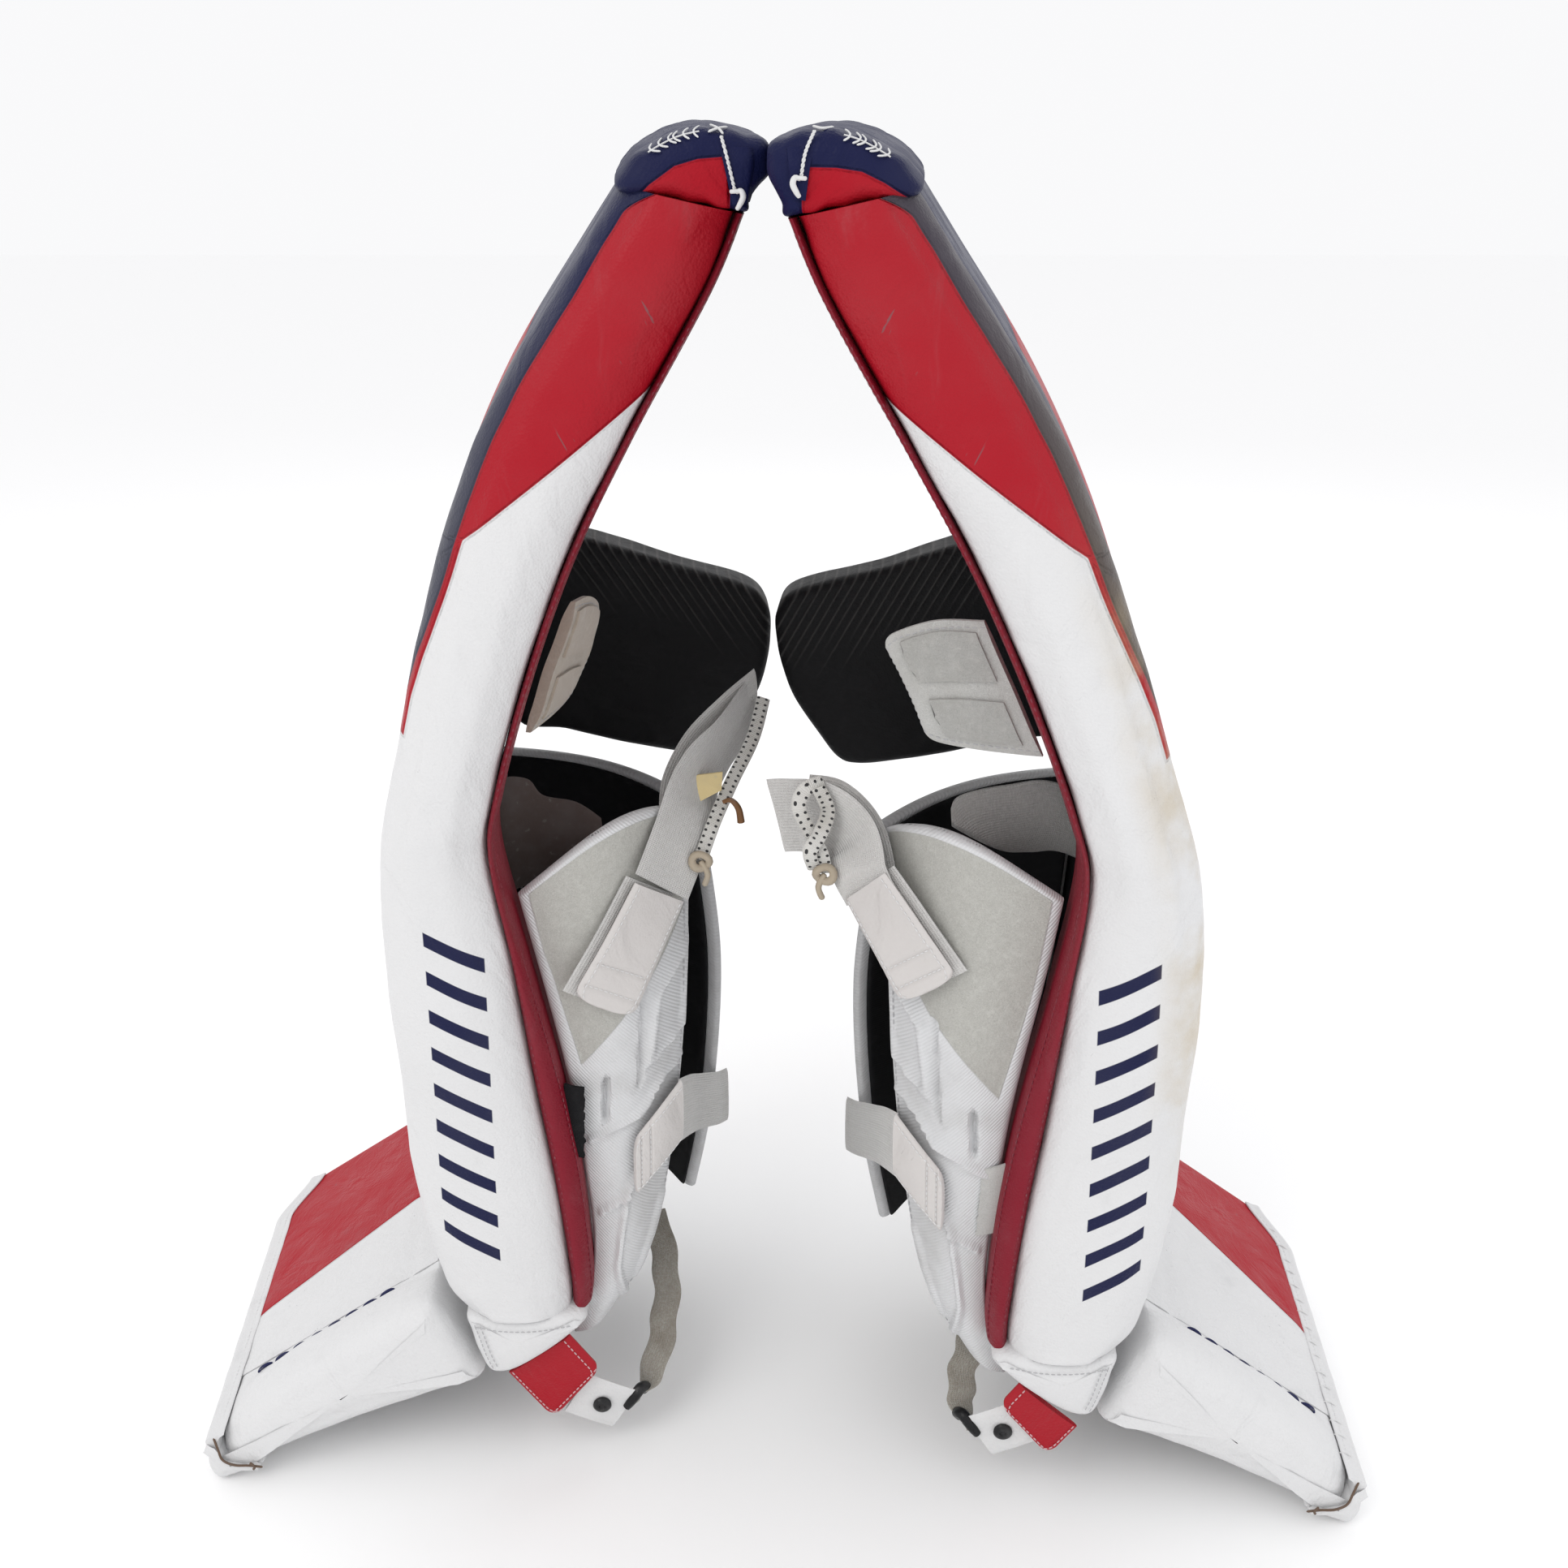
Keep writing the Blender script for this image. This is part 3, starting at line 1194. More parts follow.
def build_binding(side, paint):
    """The toe's edge binding with its stitches and lacing, and the padded corner with its lace."""
    rings = []
    for k in range(101):
        v = -0.1335 + (0.1290 + 0.1335) * k / 100
        rise = toe_cut(v) * RUN.y / RUN.x
        wobble = 0.0006 * noise.noise(Vector((v * 60.0, 3.0, 0.0)))
        floor_z = FLOOR_GAP + 0.0150 * (1.0 - smooth_step(-0.1335, -0.1170, v))
        ring = []
        for u, z in spline(TOE_BINDING, 40, closed=True):
            lift = rise * smooth_step(0.004, 0.024, z)
            ring.append((u + toe_cut(v) + wobble, v, max(z + lift + wobble, floor_z)))
        rings.append(ring)
    build(Shape().loft(rings), side, "toe_binding", paint["binding"], body="boot", slot="binding",
          stands_for=("toe_binding",))

    lace = Shape()
    for k in range(TOE_WHIPS[side]):
        v = -0.1150 + 0.0148 * k + 0.0012 * math.sin(2.3 * k)
        shift = toe_cut(v) / RUN.x
        path = [on_boot(a + shift, v + b, out) for a, b, out in TOE_WHIP]
        cord(lace, path, 12, 0.00052, sides=6, taper=0.6)
    for along_it, out in ((0.0062, 0.0097), (0.0088, 0.0080)):
        edge = []
        for k in range(60):
            v = -0.118 + 0.24 * k / 59
            edge.append(on_boot(along_it + toe_cut(v) / RUN.x, v, out))
        stitches(lace, edge, spacing=0.0038, length=0.0024, radius=0.00032)
    build(lace, side, "toe_lacing", paint["white_thread"], body="boot", slot="white_leather")

    rings = lumpy(pillow(spline(TOE_CORNER, 64, closed=True), -0.1362, -0.1100, 0.0062, 0.0010), 0.0007, 60.0)
    build(Shape().loft(rings), side, "toe_corner", paint["binding"], body="boot", slot="binding")
    knot = cord(Shape(), CORNER_LACE, 26, 0.00078, taper=0.5)
    cord(knot, CORNER_LACE_END, 10, 0.00085, taper=0.5)
    build(knot, side, "toe_knot", paint["brown_thread"], body="boot", slot="binding")


# ---------------------------------------------------------------- foot of the roll, toe tab and strap

PATCH_V = -0.1400
CORNER_PATCH = (
    (-0.1985, 0.1155), (-0.1960, 0.1040), (-0.1915, 0.0870), (-0.1850, 0.0752), (-0.1715, 0.0765),
    (-0.1520, 0.0885), (-0.1335, 0.1015), (-0.1225, 0.1120), (-0.1300, 0.1180), (-0.1550, 0.1170),
    (-0.1780, 0.1175), (-0.1920, 0.1190),
)
TOE_TAB_FRONT = ((-0.1745, 0.0700), (-0.1480, 0.0310))
TOE_TAB_BACK = ((-0.1345, 0.0970), (-0.1160, 0.0690))
TOE_TAB_SLIP = {"left": (0.0, 0.0, 0.0), "right": (-0.013, 0.0, 0.006)}
TOE_TAB_START = {"left": 0.0, "right": 0.38}
TOE_STRAP_SLIP = {"left": (0.0, 0.0025, 0.0), "right": (-0.016, 0.0025, 0.014)}
STRAP_ACROSS = (0.55, 0.0, 0.83)
TOE_STRAP_PATH = (
    ((-0.1330, -0.1246, 0.0446), STRAP_ACROSS),
    ((-0.1180, -0.1240, 0.0360), STRAP_ACROSS),
    ((-0.1022, -0.1215, 0.0262), STRAP_ACROSS),
)
SNAP = (-0.1165, -0.1262, 0.0350)
# (depth, radius) of the snap's turned section
SNAP_PROFILE = (
    (0.0004, 0.0058), (-0.0008, 0.0060), (-0.0014, 0.0055), (-0.0022, 0.0045),
    (-0.0026, 0.0031), (-0.0026, 0.0024), (-0.0016, 0.0017), (-0.0016, 0.0002),
)
TOE_ELASTIC_PATHS = {
    "left": (
        ((-0.0975, -0.1180, 0.0278), STRAP_ACROSS),
        ((-0.0860, -0.1080, 0.0370), (0.70, 0.3, 0.60)),
        ((-0.0750, -0.0800, 0.0600), (0.90, 0.3, 0.20)),
        ((-0.0730, -0.0480, 0.0860), (0.98, 0.1, 0.10)),
        ((-0.0810, -0.0220, 0.1080), (0.98, 0.1, 0.10)),
    ),
    "right": (
        ((-0.0975, -0.1180, 0.0278), STRAP_ACROSS),
        ((-0.0905, -0.1060, 0.0390), (0.70, 0.3, 0.60)),
        ((-0.0930, -0.0860, 0.0560), (0.90, 0.3, 0.20)),
        ((-0.1020, -0.0660, 0.0690), (0.98, 0.1, 0.10)),
        ((-0.1110, -0.0460, 0.0790), (0.98, 0.1, 0.10)),
    ),
}
TOE_HOOK = (
    (-0.1010, -0.1232, 0.0290), (-0.0965, -0.1225, 0.0350), (-0.0915, -0.1190, 0.0400),
    (-0.0880, -0.1140, 0.0370), (-0.0900, -0.1120, 0.0320),
)


def slipped(points, slip):
    return [tuple(p + q for p, q in zip(point, slip)) for point in points]


def patch_fall(u, v):
    """The patch follows the roll round towards its front and its back."""
    return 0.0058 * min(abs(u + 0.157) / 0.040, 1.1) ** 2 * smooth_step(-0.085, -0.130, v)


def build_patch(side, paint):
    outline = spline(CORNER_PATCH, 96, closed=True)
    rings = lumpy(pillow(outline, PATCH_V, ROLL_INNER_V - 0.0004, 0.0085, 0.0008), 0.0005)
    rings = [[(u, v + patch_fall(u, v), z) for u, v, z in ring] for ring in rings]
    build(Shape().loft(rings), side, "corner_patch", paint["white"], body="shin", slot="white_leather",
          stands_for=("corner_patch",), fill=0.8)
    thread = Shape()
    face_v = PATCH_V - 0.0010
    for depth, first, last in ((0.0060, 2, 22), (0.0092, 2, 22), (0.0060, 65, 98)):
        rim = inset(outline, depth)
        path = (rim + rim[:2])[first:last]
        stitches(thread, [(u, face_v + patch_fall(u, face_v), z) for u, z in path])
    build(thread, side, "patch_stitches", paint["grey_thread"], body="shin", slot="white_leather")


def build_toe_tab(side, paint):
    start = TOE_TAB_START[side]

    def on_tab(i, k):
        """i from the tab's root to its end, k across it."""
        f = start + (1.0 - start) * math.sin(0.5 * math.pi * i)
        corner = 0.17 * (1.0 - math.sqrt(max(1.0 - smooth_ramp(0.80, 1.0, f) ** 2, 0.0)))
        tip = math.sqrt(max(1.0 - smooth_ramp(0.88, 1.0, f) ** 3, 0.04))
        g = corner + (1.0 - 2.0 * corner) * k
        u, z = mix(mix(*TOE_TAB_FRONT, f), mix(*TOE_TAB_BACK, f), g)
        rim = math.sqrt(max(1.0 - abs(2.0 * k - 1.0) ** 8, 0.03)) * tip
        puff = 0.0010 * math.sin(math.pi * g) * math.sin(math.pi * min(f + 0.08, 1.0))
        outer, inner = -0.1288 - 0.0017 * rim - puff, -0.1280 + 0.0012 * rim
        return slipped([(u, outer, z), (u, inner, z)], TOE_TAB_SLIP[side])

    build(Shape().panel(40, 20, on_tab), side, "toe_tab", paint["red"], body="shin", slot="red_leather",
          stands_for=("toe_tab",))
    thread = Shape()
    for k in (1, 18):
        edge = [on_tab(i / 40, k / 20)[0] for i in range(41)]
        stitches(thread, slipped(edge, (0.0, -0.0003, 0.0)), radius=0.0004)
    end = [on_tab(30 / 40, k / 20)[0] for k in range(21)]
    stitches(thread, slipped(end, (0.0, -0.0004, 0.0)), radius=0.0004)
    build(thread, side, "toe_tab_stitches", paint["pink_thread"], body="shin", slot="red_leather")


def build_toe_strap(side, paint):
    slip = TOE_STRAP_SLIP[side]
    rings = [slipped(ring, slip) for ring in ribbon(TOE_STRAP_PATH, 0.034, 0.0026, 18, columns=12)]
    build(Shape().loft(rings), side, "toe_strap", paint["white_strap"], body="toe_strap",
          slot="white_leather", stands_for=("toe_strap",))
    rings = []
    for depth, radius in SNAP_PROFILE:
        turns = [k * math.pi / 16 for k in range(32)]
        rings.append([(radius * math.cos(turn), depth, radius * math.sin(turn)) for turn in turns])
    rings = [slipped(slipped(ring, SNAP), slip) for ring in rings]
    build(Shape().loft(rings), side, "toe_snap", paint["black_plastic"], body="toe_strap",
          slot="black_hardware", stands_for=("toe_snap",))
    rings = []
    for i, ring in enumerate(ribbon(TOE_ELASTIC_PATHS[side], 0.018, 0.0022, 60, columns=10, edge=0.4)):
        curl = 0.0012 * math.sin(i * 0.55) * math.sin(math.pi * i / 60)
        rings.append(slipped([(u + curl, v + 0.6 * curl, z) for u, v, z in ring], slip))
    build(Shape().loft(rings), side, "toe_elastic", paint["elastic"], body="toe_strap", slot="elastic",
          stands_for=("toe_elastic",))
    hook = cord(Shape(), slipped(TOE_HOOK, slip), 24, 0.0026, 0.0012, sides=12)
    build(hook, side, "toe_hook", paint["black_plastic"], body="toe_strap", slot="black_hardware")


# ---------------------------------------------------------------- knee block and wing

KNEE_BLOCK_REACH = {"left": 0.0, "right": 0.008}
KNEE_BLOCK_RISE = {"left": 0.0, "right": 0.007}
WING_TURN = {"left": math.radians(68.0), "right": math.radians(12.0)}
WING_START = {"left": 0.006, "right": 0.0}
WING_LENGTH = {"left": 0.76, "right": 1.0}
WING_CURL = {"left": -0.6, "right": 1.0}
WING_HINGE = ((-0.1440, -0.098, 0.494), (-0.1150, -0.098, 0.570))
# (reach, share of the hinge's height) along the wing's lower and upper edges
WING_LOW = ((0.002, 0.0), (0.030, 0.0), (0.058, 0.03), (0.0645, 0.10))
WING_HIGH = ((0.002, 1.0), (0.030, 0.97), (0.058, 0.84), (0.0645, 0.74))
WING_PATCHES = ((0.10, 0.62, 0.56, 0.93), (0.12, 0.60, 0.08, 0.42))


def block_outline(side):
    r = KNEE_BLOCK_REACH[side]
    rise = KNEE_BLOCK_RISE[side]
    points = (
        (-0.1640, 0.4345), (-0.1300, 0.4240), (-0.0910, 0.4130), (-0.0600 + 0.5 * r, 0.4065),
        (-0.0370 + r, 0.4035), (-0.0240 + r, 0.4080), (-0.0115 + r, 0.4260), (0.0020 + r, 0.4490),
        (0.0085 + r, 0.4690), (0.0110 + r, 0.4870), (0.0095 + r, 0.5080), (-0.0050 + r, 0.5240),
        (-0.0510, 0.5385), (-0.0900, 0.5520), (-0.1180, 0.5600), (-0.1320, 0.5580), (-0.1480, 0.5000),
    )
    return [(u, z + rise) for u, z in spline(points, 140, closed=True)]


def build_knee(side, paint):
    outline = block_outline(side)
    rings = lumpy(pillow(outline, 0.0955, HALF_WIDTH - 0.0022, 0.0070, 0.0010, both=True), 0.0006, 22.0)
    build(Shape().loft(rings), side, "knee_block", paint["black_ribbed"], body="knee_block",
          slot="black_leather", stands_for=("knee_block",), fill=0.95)
    lower = [(u, z - 0.0042) for u, z in inset(outline, 0.0015)]
    rings = pillow(lower, HALF_WIDTH - 0.0012, HALF_WIDTH + 0.0014, 0.0010, 0.0, spread=2)
    build(Shape().loft(rings), side, "knee_block_backing", paint["tan_foam"], body="knee_block", slot="felt")

    build_wing(side, paint)


def wing_point(side, f, g, lift):
    """A point of the wing: f out from its hinge, g up, lift from its back (-1) to its face (1)."""
    turn = WING_TURN[side]
    out = int(60 * f) / 60
    edge = [(reach * WING_LENGTH[side], low) for reach, low in WING_LOW[1:]]
    reach, low = curve_at([WING_LOW[0], *edge], out)
    high = curve_at(WING_HIGH, out)[1]
    u, v, z = mix(*WING_HINGE, low + (high - low) * g)
    curl = 0.0045 * f * f * math.sin(math.pi * g)
    rim = min(1.0, 6.0 * min(g, 1.0 - g, (1.0 - f) * 1.2) + 0.18)
    soft = 0.0012 * noise.noise(Vector((f * 3.0, g * 3.0, 2.0)))
    offset = 0.0036 + (lift * 0.0034 * math.sqrt(rim)) + curl * WING_CURL[side] + soft
    return (u + WING_START[side] + reach * math.cos(turn) - offset * math.sin(turn),
            v + reach * math.sin(turn) + offset * math.cos(turn), z)


def build_wing(side, paint):
    wing = Shape().panel(30, 30, lambda f, g: (wing_point(side, f, g, -1.0), wing_point(side, f, g, 1.0)))
    build(wing, side, "knee_wing", paint["felt_" + side], body="knee_wing", slot="felt",
          stands_for=("knee_wing",), fill=0.5)
    patches = Shape()
    for low_f, high_f, low_g, high_g in WING_PATCHES:
        def on_patch(i, k):
            x, y = 2.0 * i - 1.0, 2.0 * k - 1.0
            x *= math.sqrt(1.0 - 0.10 * y * y)
            y *= math.sqrt(1.0 - 0.10 * x * x)
            f = low_f + (high_f - low_f) * (x + 1.0) / 2.0
            g = low_g + (high_g - low_g) * (y + 1.0) / 2.0
            return wing_point(side, f, g, -1.55), wing_point(side, f, g, -1.05)

        patches.panel(10, 10, on_patch)
    build(patches, side, "wing_patches", paint["felt_dark_" + side], body="knee_wing", slot="felt")
    out = (0.0, 0.2, 0.4, 0.6, 0.8, 0.92)
    edge = [(f, 0.045) for f in out] + [(0.945, g) for g in (0.1, 0.3, 0.5, 0.7, 0.9)]
    edge += [(f, 0.955) for f in reversed(out)]
    thread = stitches(Shape(), [wing_point(side, f, g, -1.02) for f, g in edge], 0.0042, 0.0028, 0.0004)
    build(thread, side, "wing_stitches", paint["grey_thread"], body="knee_wing", slot="felt")


# ---------------------------------------------------------------- calf wraps

WRAP_CURL = 0.5
WRAP_CREST = 0.025
INNER_WRAP_EDGES = (
    ((-0.1470, 0.108), (-0.1610, 0.210), (-0.1700, 0.310), (-0.1760, 0.410)),
    ((-0.0470, 0.074), (-0.0330, 0.160), (-0.0260, 0.280), (-0.0380, 0.390)),
)
# Each wrap's front edge and its back edge, from the foot up
WRAP_EDGES = {
    ("outer", "left"): (
        ((-0.1335, 0.079), (-0.1184, 0.140), (-0.1216, 0.210), (-0.1305, 0.285), (-0.1515, 0.396)),
        ((-0.1040, 0.095), (-0.0780, 0.142), (-0.0610, 0.225), (-0.0510, 0.330), (-0.0480, 0.425)),
    ),
    ("outer", "right"): (
        ((-0.1335, 0.079), (-0.1184, 0.140), (-0.1216, 0.210), (-0.1305, 0.290), (-0.1525, 0.411)),
        ((-0.1040, 0.095), (-0.0780, 0.142), (-0.0610, 0.225), (-0.0510, 0.335), (-0.0480, 0.428)),
    ),
    ("inner", "left"): INNER_WRAP_EDGES,
    ("inner", "right"): INNER_WRAP_EDGES,
}
FELT_AREA = (
    (-0.1600, 0.4330), (-0.1338, 0.3444), (-0.1195, 0.2821), (-0.0774, 0.3316), (-0.0524, 0.3723),
    (-0.0380, 0.4205), (-0.0480, 0.4700), (-0.1600, 0.4700),
)
# (height, width, line) of the ridges and grooves moulded into the outer wrap
RIDGES = (
    (0.0039, 0.0034, ((-0.0723, 0.3231), (-0.0790, 0.2800), (-0.0565, 0.2949), (-0.0500, 0.3501),
                      (-0.0723, 0.3231))),
    (0.0033, 0.0030, ((-0.1116, 0.1752), (-0.0955, 0.1878), (-0.0884, 0.2007), (-0.0800, 0.2040))),
    (0.0033, 0.0030, ((-0.0955, 0.1878), (-0.1030, 0.1335), (-0.1000, 0.1020))),
    (0.0027, 0.0026, ((-0.1164, 0.2291), (-0.0825, 0.2468), (-0.0716, 0.2631), (-0.0600, 0.2700))),
    (-0.0036, 0.0022, ((-0.0799, 0.3284), (-0.0848, 0.2661))),
    (-0.0057, 0.0030, ((-0.1050, 0.2715), (-0.1066, 0.2445))),
    (0.0024, 0.0030, ((-0.0925, 0.1150), (-0.0800, 0.1500), (-0.0730, 0.1750))),
)


def wrap_point(side, kind, p, q, inward):
    """A point of a calf wrap: p across from its hinge, q up, inward from its outer face."""
    front, back = WRAP_EDGES[kind, side]
    fu, fz = curve_at(front, q)
    bu, bz = curve_at(back, q)
    width = bu - fu
    lean = math.atan(3.0 * WRAP_CURL * p * p)
    z = fz + (bz - fz) * p
    if kind == "outer":
        v = -0.106 - 0.006 * math.sin(math.pi * p) + WRAP_CURL * width * p ** 3
        z += WRAP_CREST * max(math.sin(math.pi * p ** 1.3), 0.0) ** 0.75 * q ** 3
        return (fu + width * p - math.sin(lean) * inward, v + math.cos(lean) * inward, z)
    v = 0.110 + 0.004 * math.sin(math.pi * p) - WRAP_CURL * width * p ** 3
    return (fu + width * p - math.sin(lean) * inward, v - math.cos(lean) * inward, z)


def rounded(gap, radius):
    """How far a face drops at a distance gap from its edge, with an edge of that radius."""
    if gap >= radius:
        return 0.0
    return radius - math.sqrt(max(radius * radius - (radius - gap) ** 2, 0.0))


def relief_at(u, z):
    """The outer wrap's relief, and how far inside its felt area a point lies."""
    height = 0.0
    for rise, width, line in RIDGES:
        gap = near_line((u, z), line)
        height += rise * (1.0 - smooth_step(0.3 * width, width, gap))
    gap = near_line((u, z), FELT_AREA + FELT_AREA[:1])
    signed = gap if inside((u, z), FELT_AREA) else -gap
    height -= 0.0012 * smooth_step(-0.0015, 0.0015, signed)
    return height, signed


def eased(share, margin, ease):
    """A share of the way between two margins, denser towards them by ease."""
    dense = 0.5 - 0.5 * math.cos(math.pi * share)
    return margin + (1.0 - 2.0 * margin) * (ease * dense + (1.0 - ease) * share)


def wrap_sheet(side, kind, outer, inner, radius, rows, columns, margin=0.0, relief=False):
    """One layer of a calf wrap, between two depths from its outer face."""
    notes = []

    def on_wrap(j, k):
        p, q = eased(k, margin, 1.0), eased(j, margin, 0.5)
        gap = min(min(p - margin, 1.0 - margin - p) * 0.075, min(q - margin, 1.0 - margin - q) * 0.33)
        drop = rounded(gap, radius)
        u, _, z = wrap_point(side, kind, p, q, 0.0)
        lift, signed = relief_at(u, z) if relief else (0.0, -1.0)
        lift += 0.0010 * noise.noise(Vector((u * 30.0, 4.0, z * 30.0)))
        notes.append((min(signed, gap - 0.0042), u, z))
        upper = wrap_point(side, kind, p, q, outer + drop - smooth_step(0.0, 0.006, gap) * lift)
        return upper, wrap_point(side, kind, p, q, inner - drop)

    shape = Shape().panel(rows, columns, on_wrap)
    shape.aux = []
    for j in range(rows + 1):
        note = notes[j * (columns + 1):(j + 1) * (columns + 1)]
        shape.aux += note + [(-1.0, u, z) for _, u, z in reversed(note)]
    return shape


def build_wraps(side, paint):
    shape = wrap_sheet(side, "outer", 0.0, 0.0115, 0.0042, 150, 64, relief=True)
    build(shape, side, "outer_wrap", paint["wrap"], body="outer_wrap", slot="eva_foam",
          stands_for=("outer_calf_wrap",))
    shape = wrap_sheet(side, "outer", 0.0112, 0.0150, 0.0016, 60, 24, margin=0.03)
    build(shape, side, "outer_wrap_lining", paint["black_lining"], body="outer_wrap", slot="felt")
    shape = wrap_sheet(side, "inner", 0.0, 0.0105, 0.0040, 100, 44)
    build(shape, side, "inner_wrap", paint["inner_wrap"], body="inner_wrap", slot="eva_foam",
          stands_for=("inner_calf_wrap",))
    shape = wrap_sheet(side, "inner", 0.0102, 0.0140, 0.0012, 80, 30, margin=0.018)
    build(shape, side, "inner_wrap_lining", paint["black_lining"], body="inner_wrap", slot="felt")
    build_hinge_web(side, paint)

    for kind, edge, high in (("outer", 0.94, 0.96), ("inner", 0.90, 0.95)):
        path = [wrap_point(side, kind, edge, 0.05 + (high - 0.05) * k / 60, -0.0006) for k in range(61)]
        thread = stitches(Shape(), path, 0.0048, 0.0032, 0.0004)
        build(thread, side, kind + "_wrap_stitches", paint["grey_thread"], body=kind + "_wrap",
              slot="white_leather")


def build_hinge_web(side, paint):
    """Black cloth between the core's medial edge and the inner wrap, bending as the wrap opens."""
    fronts = [section(t / 20)[0] for t in range(220)]

    def on_web(q, f):
        fu, fz = curve_at(INNER_WRAP_EDGES[0], q)
        front = min((abs(z - fz), u) for u, z in fronts)[1] + 0.0440
        u = front + (fu + 0.0030 - front) * f
        v = LINING_EDGE_V + 0.0035 * f - 0.0030 * math.sin(math.pi * f)
        return (u, v, fz), (u, v + 0.0014, fz)

    bend = ("shin", "inner_wrap", (-0.1780, 0.1040, 0.25), (-0.1640, 0.1080, 0.25))
    build(Shape().panel(40, 8, on_web), side, "inner_web", paint["black_lining"], bend=bend, slot="felt")


# ---------------------------------------------------------------- straps

UPPER_WIDTH = 0.046
LOWER_WIDTH = 0.044
TAB_WIDTH = 0.042
ELASTIC_THICKNESS = 0.0021
WEBBING_WIDTH = 0.0085
WEBBING_THICKNESS = 0.0018
TAB_COLUMNS = 24
TAB_MIDDLE = TAB_COLUMNS // 2
TAB_CHANNELS = (0.17, 0.34)
UPPER_TAB_PATHS = {
    "left": (
        ((-0.1050, -0.1165, 0.3260), (0.86, 0.22, -0.46)),
        ((-0.0860, -0.1085, 0.3610), (0.80, 0.45, -0.42)),
        ((-0.0690, -0.0970, 0.3920), (0.74, 0.55, -0.39)),
    ),
    "right": (
        ((-0.0770, -0.1080, 0.3530), (0.84, 0.30, -0.46)),
        ((-0.0590, -0.0985, 0.3805), (0.78, 0.46, -0.44)),
        ((-0.0405, -0.0848, 0.4070), (0.70, 0.58, -0.42)),
    ),
}
UPPER_STRAP_PATHS = {
    "left": (
        ((-0.0675, -0.0955, 0.3945), (0.74, 0.55, -0.39)),
        ((-0.0530, -0.0760, 0.4240), (0.75, 0.60, -0.30)),
        ((-0.0440, -0.0560, 0.4440), (0.60, 0.70, -0.38)),
        ((-0.0300, -0.0320, 0.4560), (0.40, 0.75, -0.52)),
        ((-0.0150, -0.0100, 0.4680), (0.35, 0.70, -0.62)),
        ((-0.0040, 0.0070, 0.4740), (0.35, 0.60, -0.72)),
    ),
    "right": (
        ((-0.0432, -0.0852, 0.4015), (0.70, 0.58, -0.42)),
        ((-0.0372, -0.0800, 0.4130), (0.69, 0.54, -0.48)),
        ((-0.0325, -0.0700, 0.4290), (0.60, 0.30, -0.74)),
        ((-0.0190, -0.0560, 0.4360), (0.15, 0.05, -0.99)),
        ((0.0010, -0.0460, 0.4335), (-0.10, -0.05, -0.99)),
        ((0.0130, -0.0415, 0.4310), (-0.10, -0.05, -0.99)),
    ),
}
LOWER_TAB_PATH = (
    ((-0.0900, -0.1150, 0.2110), (0.02, 0.02, 1.0)),
    ((-0.0745, -0.1080, 0.2270), (0.02, 0.05, 1.0)),
    ((-0.0600, -0.0960, 0.2400), (0.02, 0.08, 1.0)),
)
LOWER_STRAP_PATH = (
    ((-0.0610, -0.0945, 0.2385), (0.02, 0.08, 1.0)),
    ((-0.0535, -0.0700, 0.2270), (0.02, 0.04, 1.0)),
    ((-0.0470, -0.0300, 0.2030), (0.02, 0.0, 1.0)),
    ((-0.0390, 0.0080, 0.1800), (0.0, 0.0, 1.0)),
    ((-0.0320, 0.0360, 0.1630), (0.0, 0.0, 1.0)),
    ((-0.0255, 0.0500, 0.1570), (0.0, 0.0, 1.0)),
)
WEBBING_PATHS = {
    "left": (
        ((-0.0010, -0.0060, 0.4800), (0.86, -0.15, -0.42)),
        ((-0.0090, -0.0260, 0.4610), (0.86, -0.15, -0.42)),
        ((-0.0230, -0.0500, 0.4430), (0.86, -0.15, -0.42)),
        ((-0.0350, -0.0680, 0.4240), (0.86, -0.15, -0.42)),
        ((-0.0440, -0.0790, 0.4040), (0.86, -0.15, -0.42)),
    ),
    "right": (
        ((-0.0180, -0.0560, 0.4595), (0.10, 0.20, 0.97)),
        ((-0.0075, -0.0600, 0.4560), (0.60, 0.10, 0.80)),
        ((-0.0030, -0.0625, 0.4460), (0.98, 0.10, 0.10)),
        ((-0.0085, -0.0670, 0.4330), (0.94, 0.10, -0.30)),
        ((-0.0150, -0.0690, 0.4200), (0.96, 0.10, -0.20)),
        ((-0.0165, -0.0700, 0.4080), (0.99, 0.10, 0.00)),
    ),
}
WEBBING_CROSS = (
    ((-0.0150, -0.0590, 0.4570), (0.90, 0.20, 0.35)),
    ((-0.0200, -0.0655, 0.4455), (0.98, 0.10, 0.05)),
    ((-0.0150, -0.0715, 0.4330), (0.94, 0.10, 0.32)),
    ((-0.0085, -0.0715, 0.4215), (0.96, 0.10, 0.20)),
    ((-0.0105, -0.0690, 0.4095), (0.99, 0.10, -0.10)),
)

WEBBING_LAYERS = {"left": 1, "right": 2}


def tab_shape(f):
    """A tab's width: a rounded free end, straight sides."""
    return math.sqrt(max(1.0 - max(1.0 - f / 0.22, 0.0) ** 4, 0.04))


def tab_relief(f):
    """Sewn channels across the tab near its free end."""
    dip = 0.0
    for centre in TAB_CHANNELS:
        dip += 0.45 * math.exp(-((f - centre) / 0.018) ** 2)
    return max(1.0 - dip, 0.4) * math.sqrt(max(1.0 - max(1.0 - f / 0.06, 0.0) ** 3, 0.15))


